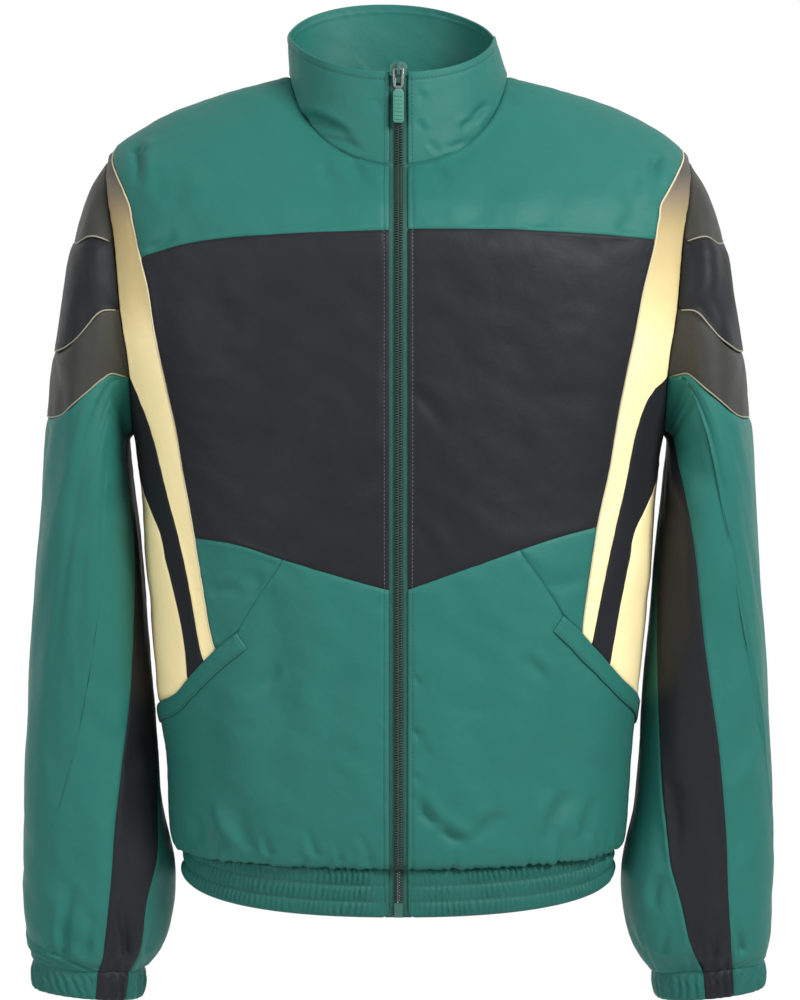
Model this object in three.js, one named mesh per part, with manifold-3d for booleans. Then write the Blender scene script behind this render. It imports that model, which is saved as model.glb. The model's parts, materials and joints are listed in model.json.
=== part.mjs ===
// A zip-front track jacket, filled out as if worn, with the zip closed and the sleeves hanging.
// Millimetres, +Z up, front towards -Y, the wearer's left towards +X. The origin is the centre of the
// neck opening, level with the side-neck points, where a wearer's neck would hold the jacket.
import * as THREE from 'three';
import { mergeVertices } from 'three/addons/utils/BufferGeometryUtils.js';
import Module from 'manifold-3d';

// Driving dimensions.
const SHELL = 1.6;            // wall of the woven shell
const COLLAR_WALL = 2.4;      // the collar is folded double
const BAND_WALL = 1.8;        // hem band and cuffs over their elastic
const STRIP_WALL = 1.0;       // piping and pocket welts
const SEAM_GAP = 0.36;        // between pieces at a seam
const FRONT_EDGE = 7.5;       // half the width between the front edges, where the zip shows
const GATHER = 1.5;           // height of a gather on the hem band and the cuffs
const PIPING_WIDTH = 1.8;
const WELT_WIDTH = 21;        // measured down the front, across a slanted pocket
const RIDGE = 0.22;           // softness of the shoulder line

// Colours, roughness and metalness of the cloth and the zip.
const FINISH = {
  green: ['#4b8a7b', 0.6, 0],
  navy: ['#2f3138', 0.6, 0],
  taupe: ['#6b675b', 0.6, 0],
  yellow: ['#efdf9c', 0.65, 0],
  cream: ['#e9e2cc', 0.7, 0],
  tape: ['#3f6f64', 0.8, 0],
  chain: ['#5d5f5c', 0.45, 0],
  metal: ['#9aa5a0', 0.35, 0.9],
  tab: ['#8fb5a6', 0.55, 0],
};

const radians = THREE.MathUtils.degToRad;
const degrees = THREE.MathUtils.radToDeg;
const mix = (a, b, t) => a + (b - a) * t;
const steps = (from, to, count) => Array.from({ length: count + 1 }, (_, i) => mix(from, to, i / count));
const table = (columns, rows) => rows
  .map((row) => Object.fromEntries(columns.map((key, i) => [key, row[i]])));

// Level rings of the body from the hem seam up to the neckline. Ring number v runs from 0 to 14. Heights
// are given at the front, the side and the back; "square" is the exponent of the rounded outline.
const BODY = table(['zFront', 'zSide', 'zBack', 'half', 'front', 'back', 'square'], [
  [-625, -614, -602, 175, 124, 112, 2.3],    // hem seam
  [-622, -622, -610, 184, 131, 120, 2.3],    // lip of the blouse over the hem band
  [-603, -602, -590, 188, 135, 127, 2.3],    // blouse
  [-556, -548, -542, 191, 139, 133, 2.3],    // hip
  [-483, -480, -478, 198.5, 142, 137, 2.35], // waist
  [-400, -400, -400, 205, 145, 140, 2.4],    // ribs
  [-335, -335, -335, 210, 147, 141, 2.4],
  [-285, -285, -285, 216, 147, 141, 2.4],    // armpit
  [-235, -235, -235, 230, 146, 140, 2.4],    // chest
  [-180, -180, -180, 244, 143, 138, 2.4],
  [-130, -122, -122, 243, 139, 134, 2.4],
  [-100, -63, -66, 236, 126, 122, 2.3],      // shoulder point
  [-86, -32, -40, 199, 112, 106, 2.2],
  [-75, -12, -15, 152, 99, 88, 2.15],
  [-66, 5, 8, 88, 88, 66, 2.1],              // neckline
]);
const NECK = BODY.length - 1;
const SHOULDER = 11;
const ARMPIT = 7;
const ARMHOLE = { middle: 9, reach: 2, swing: 28.8 };

// Rings of a sleeve from the first below the armhole to the cuff seam, each through an outer and an inner
// point. The armhole itself is ring 0.
const SLEEVE_COLUMNS = ['outX', 'outZ', 'inX', 'inZ', 'depth', 'y', 'square'];
const SLEEVE = table(SLEEVE_COLUMNS, [
  [252, -90, 220, -289, 82, 0, 2.1],
  [264, -128, 221, -296, 85, 0, 2.1],
  [272, -170, 220.5, -306, 87, 0, 2.2],
  [279, -216, 219, -320, 88, 0, 2.2],
  [286, -275, 217, -341, 88, 1, 2.2],
  [292.3, -340, 213.5, -370, 86, 2, 2.2],
  [298, -405, 209.5, -415, 82, 3, 2.2],
  [302.5, -470, 205, -472, 76, 3, 2.2],
  [306, -530, 199.5, -532, 70, 2, 2.2],
  [308, -590, 194.5, -592, 64, 0, 2.2],
  [308.5, -640, 185, -640, 60, -3, 2.2],
  [307.5, -676, 187.5, -680, 57, -5, 2.2],
  [304.5, -702, 195, -707, 51, -6, 2.2],
  [301, -719, 209.5, -727, 39, -7, 2.2],
]);
const WRIST = SLEEVE.length;
const [CUFF_END] = table(SLEEVE_COLUMNS, [[301, -741, 213, -750, 37, -8, 2.2]]);

const EDGE_COLUMNS = ['zFront', 'zSide', 'zBack', 'half', 'front', 'back', 'square'];
const [COLLAR_TOP, HEM_END] = table(EDGE_COLUMNS, [
  [8, 38, 66, 83, 80, 68, 2.1],
  [-664, -648, -640, 177, 124, 112, 2.3],
]);
const COLLAR_LEAN = 6;        // the collar's back stands this far towards the wearer's right

// Seams of the fronts as x and z seen from the front, one pair of columns for the wearer's right side and
// one for the left, because the jacket hangs a little askew.
const SEAM_COLUMNS = ['xRight', 'zRight', 'xLeft', 'zLeft'];
const SEAMS = {
  yoke: [[7.5, -116, 7.5, -115], [77, -118.5, 80, -115.5], [150, -124.5, 143, -119],
    [205, -139, 204, -125]],
  bandYoke: [[205, -139, 204, -125], [211, -114, 207, -109], [216, -94, 210.5, -94],
    [226, -74, 224, -72]],
  bandChest: [[205, -139, 204, -125], [197.3, -172.6, 192.4, -172.4], [185.6, -236, 179.8, -236],
    [173, -300, 169, -299.5], [162.3, -361.7, 157.8, -352.5]],
  bandPocket: [[162.3, -361.7, 157.8, -352.5], [151.7, -427, 148.5, -415], [146.2, -450.8, 146.1, -437]],
  chestFoot: [[7.5, -399.5, 7.5, -399], [38, -391.3, 30, -391.2], [91.5, -376, 96, -368.5]],
  pocketHead: [[91.5, -376, 96, -368.5], [130, -365, 128, -359], [162.3, -361.7, 157.8, -352.5]],
  pocketSeam: [[91.5, -376, 96, -368.5], [92.5, -386, 98, -376], [128, -435, 130.5, -421.6]],
  pocketLip: [[128, -435, 130.5, -421.6], [146.2, -450.8, 146.1, -437]],
  bandFoot: [[146.2, -450.8, 146.1, -437], [156.2, -461.4, 154.4, -447.5]],
  panelFoot: [[156.2, -461.4, 154.4, -447.5], [169.7, -477.8, 170, -466]],
  gussetFoot: [[169.7, -477.8, 170, -466], [183, -493.5, 185, -484]],
  bandBack: [[208, -254, 199.5, -253], [188.5, -317, 182.5, -316.6], [172, -380, 168, -380],
    [160.2, -444, 158.4, -427.5], [156.2, -461.4, 154.4, -447.5]],
  gussetFront: [[196, -350.8, 194, -350.5], [187.6, -382, 186, -382], [179.3, -413.6, 179.3, -413.6],
    [172.8, -445.4, 174.5, -440], [169.7, -477.8, 170, -466]],
};
const BAND_TOP = 11.25;       // ring number where the band's front edge starts on the shoulder seam
const GUSSET_TOP = [[90, 6.6], [87.5, 6.55]];
const POCKET_END = 3.6;       // ring number where the slanted pocket meets the side seam

// Lower seams of the three pieces at the top of a sleeve, as angle round the sleeve and ring number.
const SLEEVE_SEAMS = [
  { angle: 60, segments: 8, course: [[0, 2], [36, 1.6], [51, 0.9], [60, 0.18]] },
  { angle: 90, segments: 14, course: [[0, 4], [35, 3.73], [69, 2.69], [84, 1.2], [90, 0.18]] },
  { angle: 120,
    segments: 20,
    course: [[0, 4.9], [33, 4.74], [72, 3.99], [104, 2.35], [116, 0.8], [120, 0.18]] },
];

// Edges of the dark strip under a sleeve: ring number, and the angles of its front and back edges.
const UNDER = table(['ring', 'frontRight', 'backRight', 'frontLeft', 'backLeft'], [
  [0, 165, 195, 165, 195],
  [1.5, 165, 195, 158, 192],
  [3.6, 164, 195, 143, 186],
  [5.2, 162, 195, 125, 178],
  [6.4, 157, 194, 111, 168],
  [7.4, 146, 191, 102, 158],
  [8.2, 136, 184, 93, 148],
  [9, 125, 174, 84, 138],
  [9.8, 115, 164, 78, 130],
  [10.7, 105, 145, 72, 117],
  [11.5, 101, 132, 70, 107],
  [12.6, 100, 132, 68, 102],
  [13.4, 101, 135, 67.5, 99],
  [WRIST, 102, 137, 67.5, 98],
]);

// The largest folds: from one place to another as x and z seen from the front, with width and depth.
const FOLDS = table(['x0', 'z0', 'x1', 'z1', 'width', 'depth'], [
  [-155, -580, -138, -612, 13, 4],
  [-120, -596, -128, -560, 16, 3],
  [18, -588, 66, -619, 15, 4],
  [66, -602, 92, -560, 18, 3],
  [118, -598, 150, -560, 16, 3.5],
  [-30, -610, -60, -585, 14, 2.5],
]);

const catmull = (p0, p1, p2, p3, t) => 0.5 * (2 * p1 + (p2 - p0) * t
  + (2 * p0 - 5 * p1 + 4 * p2 - p3) * t * t + (3 * p1 - p0 - 3 * p2 + p3) * t ** 3);

// A smooth value between numbered rows, past the ends by a straight line.
function smooth(values, place) {
  const last = values.length - 1;
  const i = Math.min(Math.max(Math.floor(place), 0), last - 1);
  const before = i > 0 ? values[i - 1] : 2 * values[0] - values[1];
  const after = i < last - 1 ? values[i + 2] : 2 * values[last] - values[last - 1];
  return catmull(before, values[i], values[i + 1], after, place - i);
}

const BODY_LISTS = Object.fromEntries(EDGE_COLUMNS.map((key) => [key, BODY.map((ring) => ring[key])]));
const bodyRing = (v) => Object.fromEntries(EDGE_COLUMNS.map((key) => [key, smooth(BODY_LISTS[key], v)]));

// Sine and cosine of a rounded square.
function roundedSquare(angle, exponent) {
  const sine = Math.sin(radians(angle));
  const cosine = Math.cos(radians(angle));
  const scale = (Math.abs(sine) ** exponent + Math.abs(cosine) ** exponent) ** (1 / exponent);
  return [sine / scale, cosine / scale];
}

// A point of a ring: angle 0 at the front, 90 at the wearer's left side, 180 at the back.
function ringPoint(ring, angle) {
  const [sine, cosine] = roundedSquare(angle, ring.square);
  const ahead = cosine > 0;
  const rise = (Math.sqrt(cosine ** 2 + RIDGE ** 2) - RIDGE) / (Math.sqrt(1 + RIDGE ** 2) - RIDGE);
  return new THREE.Vector3(ring.half * sine, -(ahead ? ring.front : ring.back) * cosine,
    mix(ring.zSide, ahead ? ring.zFront : ring.zBack, rise));
}

const bodyPoint = (angle, v) => ringPoint(bodyRing(v), angle);

function collarPoint(angle, t) {
  const top = ringPoint(COLLAR_TOP, angle);
  top.x -= COLLAR_LEAN * (1 - Math.cos(radians(angle)));
  return bodyPoint(angle, NECK).lerp(top, t);
}

const hemPoint = (angle, t) => bodyPoint(angle, 0).lerp(ringPoint(HEM_END, angle), t);

// The armhole as places on the body: 0 at the shoulder point, 90 at the front, 180 in the armpit.
const armhole = (angle) => [90 - ARMHOLE.swing * Math.sin(radians(angle)),
  ARMHOLE.middle + ARMHOLE.reach * Math.cos(radians(angle)), angle];

function sleeveRingPoint(ring, angle) {
  const [sine, cosine] = roundedSquare(angle, ring.square);
  return new THREE.Vector3(mix(ring.outX, ring.inX, (1 - cosine) / 2), ring.y - ring.depth * sine,
    mix(ring.outZ, ring.inZ, (1 - cosine) / 2));
}

function sleevePoint(angle, s) {
  const [phi, v] = armhole(angle);
  const rings = [bodyPoint(phi, v), ...SLEEVE.map((ring) => sleeveRingPoint(ring, angle))];
  return new THREE.Vector3(...['x', 'y', 'z'].map((axis) => smooth(rings.map((p) => p[axis]), s)));
}

const cuffPoint = (angle, t) => sleevePoint(angle, WRIST).lerp(sleeveRingPoint(CUFF_END, angle), t);

// The direction out of a surface, from its slopes. "first" and "second" are its two variables.
function outward(surface, first, second, span, low, high) {
  const a = surface(first + 0.5, second).sub(surface(first - 0.5, second));
  const b = surface(first, Math.min(second + span, high)).sub(surface(first, Math.max(second - span, low)));
  return a.cross(b).normalize();
}
const bodyOut = (phi, v) => outward(bodyPoint, phi, v, 0.02, 0, NECK);
const collarOut = (phi, t) => outward(collarPoint, phi, t, 0.05, 0, 1);
const hemOut = (phi, t) => outward(hemPoint, phi, t, 0.05, 0, 1).negate();
const sleeveOut = (psi, s) => outward(sleevePoint, psi, s, 0.02, 0, WRIST);
const cuffOut = (psi, t) => outward(cuffPoint, psi, t, 0.05, 0, 1);

// The mitre between two walls that meet at a seam.
function mitre(a, b) {
  const sum = a.clone().add(b).divideScalar(Math.max(1 + a.dot(b), 0.05));
  return sum.clampLength(1, 1.8);
}

// Places with their points and directions. A place on the body is [phi, v] and, on the armhole, its angle.
function onBody([phi, v, armholeAngle]) {
  let out = bodyOut(phi, v);
  if (armholeAngle !== undefined) out = mitre(out, sleeveOut(armholeAngle, 0));
  else if (v <= 0) out = mitre(out, hemOut(phi, 0));
  else if (v >= NECK) out = mitre(out, collarOut(phi, 0));
  return { point: bodyPoint(phi, v), out };
}

function onSleeve([psi, s]) {
  let out = sleeveOut(psi, s);
  if (s <= 0) out = mitre(out, bodyOut(...armhole(psi).slice(0, 2)));
  else if (s >= WRIST) out = mitre(out, cuffOut(psi, 0));
  return { point: sleevePoint(psi, s), out };
}

// The angle on a ring at a distance from the middle of the front.
function angleAt(x, half, square) {
  const share = Math.min(x / half, 1);
  return degrees(Math.atan2(share, (1 - share ** square) ** (1 / square)));
}
function frontEdge(v) {
  const ring = bodyRing(v);
  return [angleAt(FRONT_EDGE, ring.half, ring.square), v];
}

// The place on the front of the body that is seen at x and z, by halving the range of v.
function locate(x, z) {
  let [low, high] = [1.5, NECK];
  for (let i = 0; i < 30; i += 1) {
    const v = (low + high) / 2;
    const ring = bodyRing(v);
    const height = x < ring.half ? ringPoint(ring, angleAt(x, ring.half, ring.square)).z : ring.zSide;
    if (height > z) high = v;
    else low = v;
  }
  const ring = bodyRing(low);
  return [angleAt(x, ring.half, ring.square), low];
}

// A smooth course through places, cut into equal lengths of cloth.
function course(places, count, surface = bodyPoint) {
  const fine = steps(0, places.length - 1, 24 * (places.length - 1))
    .map((at) => [smooth(places.map((p) => p[0]), at), smooth(places.map((p) => p[1]), at)]);
  const points = fine.map(([a, b]) => surface(a, b));
  const lengths = [0];
  points.slice(1).forEach((point, i) => lengths.push(lengths[i] + point.distanceTo(points[i])));
  return steps(0, lengths.at(-1), count).map((want) => {
    const i = Math.min(Math.max(lengths.findIndex((length) => length >= want - 1e-9), 1), fine.length - 1);
    const t = (want - lengths[i - 1]) / (lengths[i] - lengths[i - 1]);
    return [mix(fine[i - 1][0], fine[i][0], t), mix(fine[i - 1][1], fine[i][1], t)];
  });
}
const join = (...parts) => parts.flatMap((part, i) => (i ? part.slice(1) : part));
const reversed = (list) => [...list].reverse();

// A patch of places between four edges, by Coons' rule. Rows run from top to bottom, and each edge keeps
// its own places, so that two patches meet exactly.
function patch(top, bottom, left, right) {
  const cols = top.length - 1;
  const rows = left.length - 1;
  const blend = (i, j, k) => {
    const [u, w] = [i / cols, j / rows];
    return (1 - w) * top[i][k] + w * bottom[i][k] + (1 - u) * left[j][k] + u * right[j][k]
      - (1 - u) * (1 - w) * top[0][k] - u * (1 - w) * top[cols][k]
      - (1 - u) * w * bottom[0][k] - u * w * bottom[cols][k];
  };
  return left.map((_, j) => top.map((__, i) => {
    if (j === 0) return top[i];
    if (j === rows) return bottom[i];
    if (i === 0) return left[j];
    if (i === cols) return right[j];
    return [blend(i, j, 0), blend(i, j, 1)];
  }));
}

// How far the folds push the cloth in at a point, seen from the front.
function foldDepth(point) {
  if (point.y > 0) return 0;
  const at = new THREE.Vector3(point.x, 0, point.z);
  return FOLDS.reduce((total, fold) => {
    const [start, end] = [[fold.x0, fold.z0], [fold.x1, fold.z1]].map(([x, z]) => new THREE.Vector3(x, 0, z));
    const line = new THREE.Line3(start, end);
    const near = line.closestPointToPoint(at, true, new THREE.Vector3());
    return total + fold.depth * Math.exp(-((near.distanceTo(at) / (fold.width / 2)) ** 2));
  }, 0);
}

// A grid of points and directions from a grid of places, mirrored for the wearer's right side.
function drape(places, on, side, folded = false) {
  const rows = places.length - 1;
  return places.map((row, j) => row.map((place, i) => {
    const { point, out } = on(place);
    const sheet = { point: point.clone(), out: out.clone() };
    sheet.point.x *= side;
    sheet.out.x *= side;
    const inside = i > 0 && j > 0 && i < row.length - 1 && j < rows;
    if (folded && inside) sheet.point.addScaledVector(sheet.out, -foldDepth(sheet.point));
    return sheet;
  }));
}

const LONGEST_MITRE = 6;      // at a sharp corner, in seam gaps
// A closed wall on a grid of points. Its edges stop half a seam gap short, "lift" moves it outwards and
// "gather" raises its outer face alone.
function wall(grid, thickness, { lift = 0, gather = () => 0, gap = SEAM_GAP / 2 } = {}) {
  const rows = grid.length - 1;
  const cols = grid[0].length - 1;
  const middle = grid[rows >> 1];
  const half = Math.max(cols >> 1, 1);
  const across = middle[half].point.clone().sub(middle[half - 1].point);
  const up = grid[0][cols >> 1].point.clone().sub(grid[rows][cols >> 1].point);
  const flipped = across.cross(up).dot(middle[cols >> 1].out) < 0;
  // Unit vector into the piece, square to its edge: from a point on the edge towards the next line.
  const inward = (i, j, di, dj) => {
    const at = grid[j][i].point;
    const [i0, i1] = di ? [i, i] : [Math.max(i - 1, 0), Math.min(i + 1, cols)];
    const [j0, j1] = dj ? [j, j] : [Math.max(j - 1, 0), Math.min(j + 1, rows)];
    const along = grid[j1][i1].point.clone().sub(grid[j0][i0].point).normalize();
    const into = grid[j + dj][i + di].point.clone().sub(at);
    return into.addScaledVector(along, -into.dot(along)).normalize();
  };
  const inset = (i, j) => {
    const sideways = i === 0 ? inward(i, j, 1, 0) : i === cols ? inward(i, j, -1, 0) : null;
    const upright = j === 0 ? inward(i, j, 0, 1) : j === rows ? inward(i, j, 0, -1) : null;
    if (sideways && upright) {
      const corner = sideways.clone().add(upright).divideScalar(Math.max(1 + sideways.dot(upright), 0.02));
      return corner.clampLength(1, LONGEST_MITRE);
    }
    return sideways ?? upright ?? new THREE.Vector3();
  };
  const geometry = new THREE.BoxGeometry(1, 1, 1, cols, rows, 1);
  // Opposite faces are cut along the same diagonals, so a twisted cell keeps its thickness and two
  // neighbours match at their seam.
  const { index } = geometry;
  for (const negative of [1, 3, 5].map((group) => geometry.groups[group])) {
    for (let k = negative.start; k < negative.start + negative.count; k += 6) {
      const [a, b, d, c] = [0, 1, 2, 4].map((step) => index.getX(k + step));
      [a, b, c, a, c, d].forEach((corner, step) => index.setX(k + step, corner));
    }
  }
  geometry.deleteAttribute('normal');
  geometry.deleteAttribute('uv');
  const merged = mergeVertices(geometry, 1e-5);
  const position = merged.attributes.position;
  for (let k = 0; k < position.count; k += 1) {
    const share = position.getX(k) + 0.5;
    const i = Math.round((flipped ? 1 - share : share) * cols);
    const j = Math.round((0.5 - position.getY(k)) * rows);
    const { point, out } = grid[j][i];
    const moved = point.clone();
    moved.addScaledVector(inset(i, j), gap);
    const outer = position.getZ(k) > 0;
    moved.addScaledVector(out, lift + (outer ? thickness / 2 + gather(i, j) : -thickness / 2));
    position.setXYZ(k, moved.x, moved.y, moved.z);
  }
  return merged;
}

const jacket = new THREE.Group();
jacket.name = 'jacket';

function add(name, geometry, finish, parent = jacket) {
  const [color, roughness, metalness] = FINISH[finish];
  const mesh = new THREE.Mesh(geometry, new THREE.MeshStandardMaterial({ color, roughness, metalness }));
  mesh.name = name;
  parent.add(mesh);
  return mesh;
}

// A narrow strip over one edge of a draped grid: the edge's own points, then points further along each of
// the grid's lines.
function edgeStrip(lines, widths) {
  return lines.map((line) => [line[0], ...widths.map((width) => {
    const far = { point: line[0].point.clone(), out: line[0].out.clone() };
    let left = width;
    for (let k = 1; k < line.length && left > 0; k += 1) {
      const length = line[k].point.distanceTo(line[k - 1].point);
      const t = Math.min(left / length, 1);
      far.point.lerpVectors(line[k - 1].point, line[k].point, t);
      far.out.lerpVectors(line[k - 1].out, line[k].out, t);
      left -= length;
    }
    return far;
  })]);
}
const rimLift = SHELL / 2 + SEAM_GAP + STRIP_WALL / 2;
const WELT_LIFT = 0.7;        // further out, over the bend of the slanted edge
const ARM_PIPING_LIFT = 0.3;

// A gathered band: the seam's points divided, then lowered along the band's own surface.
function band(seam, parts, angles, surface, out, side, rowsAt) {
  const fine = [];
  for (let i = 0; i < seam.length - 1; i += 1) {
    for (let k = 0; k < parts[i]; k += 1) fine.push([i, k / parts[i]]);
  }
  fine.push([seam.length - 2, 1]);
  return rowsAt.map((t) => fine.map(([i, share]) => {
    const angle = mix(angles[i], angles[i + 1], share);
    const point = seam[i].point.clone().lerp(seam[i + 1].point, share);
    const direction = t === 0 ? seam[i].out.clone().lerp(seam[i + 1].out, share) : out(angle, t);
    const down = surface(angle, t).sub(surface(angle, 0));
    if (t > 0) direction.x *= side;
    down.x *= side;
    return { point: point.add(down), out: direction };
  }));
}
// Gathers stand on every second line, of uneven height, and leave two flat lines at each end.
const gathers = (cols, height) => (i, j) => {
  if (i < 2 || i > cols - 2 || i % 2 === 0 || j === 0) return 0;
  return height * (0.72 + 0.28 * Math.sin(i * 2.7));
};

const ROWS = { yoke: 4, shoulder: 4, chest: 7, pocket: 4, armhole: 8, free: 7 };
const HEM_COLUMNS = 18;       // of each front
const SHOULDER_ROWS = course([[90, BAND_TOP], [90, 12.5], [90, NECK]], ROWS.shoulder);
const NECK_EDGE = steps(frontEdge(NECK)[0], 90, 6).map((phi) => [phi, NECK]);
const HEM_EDGE = steps(frontEdge(0)[0], 90, HEM_COLUMNS).map((phi) => [phi, 0]);
const BACK_COLUMNS = 12;
const LOWER_ROWS = [3, 2, 1.4, 1, 0.5, 0];

// The fronts.
const hemSeam = {};
for (const [side, letter, xKey, zKey] of [[1, 'L', 'xLeft', 'zLeft'], [-1, 'R', 'xRight', 'zRight']]) {
  const seam = (name, count, before = [], after = []) => course([...before,
    ...table(SEAM_COLUMNS, SEAMS[name]).map((row) => locate(row[xKey], row[zKey])), ...after], count);
  const onFront = (places, folded) => drape(places, onBody, side, folded);

  const yokeSeam = seam('yoke', 6);
  const bandYoke = seam('bandYoke', ROWS.yoke, [], [[90, BAND_TOP]]);
  const bandChest = seam('bandChest', ROWS.chest);
  const bandPocket = seam('bandPocket', ROWS.pocket);
  const chestFoot = seam('chestFoot', 4);
  const pocketHead = seam('pocketHead', 2);
  const pocketSeam = seam('pocketSeam', 4);
  const pocketLip = seam('pocketLip', 2);
  const bandFoot = seam('bandFoot', 2);
  const panelFoot = seam('panelFoot', 4);
  const gussetFoot = seam('gussetFoot', 2, [], [[90, POCKET_END]]);
  const bandArmhole = steps(0, 120, ROWS.armhole).map(armhole);
  const armpitEnd = bandArmhole.at(-1);
  const bandBack = [armpitEnd, ...seam('bandBack', ROWS.free, [armpitEnd.slice(0, 2)]).slice(1)];
  const gussetFront = seam('gussetFront', ROWS.free - 2, [GUSSET_TOP[1]]);

  const edgeDown = (from, to, count) => steps(from, to, count).map(frontEdge);
  const yoke = onFront(patch(NECK_EDGE, yokeSeam, edgeDown(NECK, yokeSeam[0][1], ROWS.yoke + ROWS.shoulder),
    join(reversed(SHOULDER_ROWS), reversed(bandYoke))), true);
  add(`yoke_front_${letter}`, wall(yoke, SHELL), 'green');

  const chest = onFront(patch(yokeSeam, join(chestFoot, pocketHead),
    edgeDown(yokeSeam[0][1], chestFoot[0][1], ROWS.chest), bandChest));
  add(`chest_${letter}`, wall(chest, SHELL), 'navy');

  const pocketTop = onFront(patch(pocketHead, pocketLip, pocketSeam, bandPocket));
  add(`pocket_top_${letter}`, wall(pocketTop, SHELL), 'green');

  const bandPlaces = patch([[90, BAND_TOP], [90, (BAND_TOP + SHOULDER) / 2], bandArmhole[0]], bandFoot,
    join(reversed(bandYoke), bandChest, bandPocket), join(bandArmhole, bandBack));
  const sideBand = onFront(bandPlaces);
  add(`side_band_${letter}`, wall(sideBand, SHELL), 'yellow');
  const bandPiping = wall(edgeStrip(sideBand, [PIPING_WIDTH]), STRIP_WALL, { lift: rimLift });
  add(`band_piping_${letter}`, bandPiping, 'cream');

  const panelTop = steps(120, 180, 4).map(armhole);
  const panelSide = [panelTop.at(-1), ...GUSSET_TOP, ...gussetFront.slice(1)];
  const sidePanel = onFront(patch(panelTop, panelFoot, bandBack, panelSide));
  add(`side_panel_${letter}`, wall(sidePanel, SHELL), 'navy');

  const gussetSide = course([GUSSET_TOP[0], [90, 5], [90, POCKET_END]], ROWS.free - 2);
  const gussetMiddle = [0, 1].map((k) => (GUSSET_TOP[0][k] + GUSSET_TOP[1][k]) / 2);
  const gussetTop = [GUSSET_TOP[1], gussetMiddle, GUSSET_TOP[0]];
  const gusset = onFront(patch(gussetTop, gussetFoot, gussetFront, gussetSide));
  add(`side_gusset_${letter}`, wall(gusset, SHELL), 'yellow');

  const topEdge = join(chestFoot, pocketSeam, pocketLip, bandFoot, panelFoot, gussetFoot);
  const upperRows = 4;
  const frontRows = [...steps(chestFoot[0][1], 3, upperRows), ...LOWER_ROWS.slice(1)];
  const sideRows = [...steps(POCKET_END, 3, upperRows), ...LOWER_ROWS.slice(1)];
  const sideEdge = sideRows.map((v) => [90, v]);
  const lower = onFront(patch(topEdge, HEM_EDGE, frontRows.map(frontEdge), sideEdge), true);
  add(`lower_front_${letter}`, wall(lower, SHELL), 'green');
  hemSeam[letter] = lower.at(-1);

  // The welt is sewn over the lower front, from the pocket's lip to the side seam.
  const lipStart = chestFoot.length + pocketSeam.length - 2;
  const lines = topEdge.slice(lipStart).map((_, i) => lower.map((row) => row[lipStart + i]));
  const welt = edgeStrip(lines, [WELT_WIDTH / 2, WELT_WIDTH]);
  add(`pocket_welt_${letter}`, wall(welt, STRIP_WALL, { lift: rimLift + WELT_LIFT }), 'green');
}

// The back, from side seam to side seam, round the armholes and up to the shoulder seams.
const backRows = [...reversed(SHOULDER_ROWS).map(([phi, v]) => [phi, v]),
  ...steps(360, 180, 12).map(armhole), ...[6, 5, 4, ...LOWER_ROWS].map((v) => [90, v])];
const backPlaces = backRows.map(([phi, v, angle]) => steps(phi, 360 - phi, BACK_COLUMNS).map((at, i) => {
  const atEnd = i === 0 || i === BACK_COLUMNS;
  return atEnd && angle !== undefined ? [phi, v, angle, i ? -1 : 1] : [at, v];
}));
const back = backPlaces.map((row) => row.map((place) => {
  const mirrored = place[3] === -1;
  return drape([[place.slice(0, 3)]], onBody, mirrored ? -1 : 1)[0][0];
}));
add('back', wall(back, SHELL), 'green');

// The collar: one piece round the neck, open at the zip.
const backNeck = steps(90, 270, BACK_COLUMNS);
const fullTurn = (edge) => [...edge.map(([phi]) => phi), ...backNeck.slice(1),
  ...reversed(edge).slice(1).map(([phi]) => 360 - phi)];
const neckAngles = fullTurn(NECK_EDGE);
const collarGrid = reversed(steps(0, 1, 3)).map((t) => neckAngles.map((phi) => ({
  point: collarPoint(phi, t),
  out: t === 0 ? mitre(collarOut(phi, 0), bodyOut(phi, NECK)) : collarOut(phi, t),
})));
add('collar', wall(collarGrid, COLLAR_WALL), 'green');

// The hem band, from zip to zip round the back, on the fronts' and the back's own seam points.
const hemLine = [...hemSeam.L, ...back.at(-1).slice(1), ...reversed(hemSeam.R).slice(1)];
const hemAngles = fullTurn(HEM_EDGE);
const onFronts = (i) => i < HEM_COLUMNS || i >= HEM_COLUMNS + BACK_COLUMNS;
const hemParts = hemLine.slice(1).map((_, i) => (onFronts(i) ? 4 : 8));
const hemGrid = band(hemLine, hemParts, hemAngles, hemPoint, hemOut, 1, [0, 0.5, 1]);
add('hem_band', wall(hemGrid, BAND_WALL, { gather: gathers(hemGrid[0].length - 1, GATHER) }), 'green');

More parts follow.
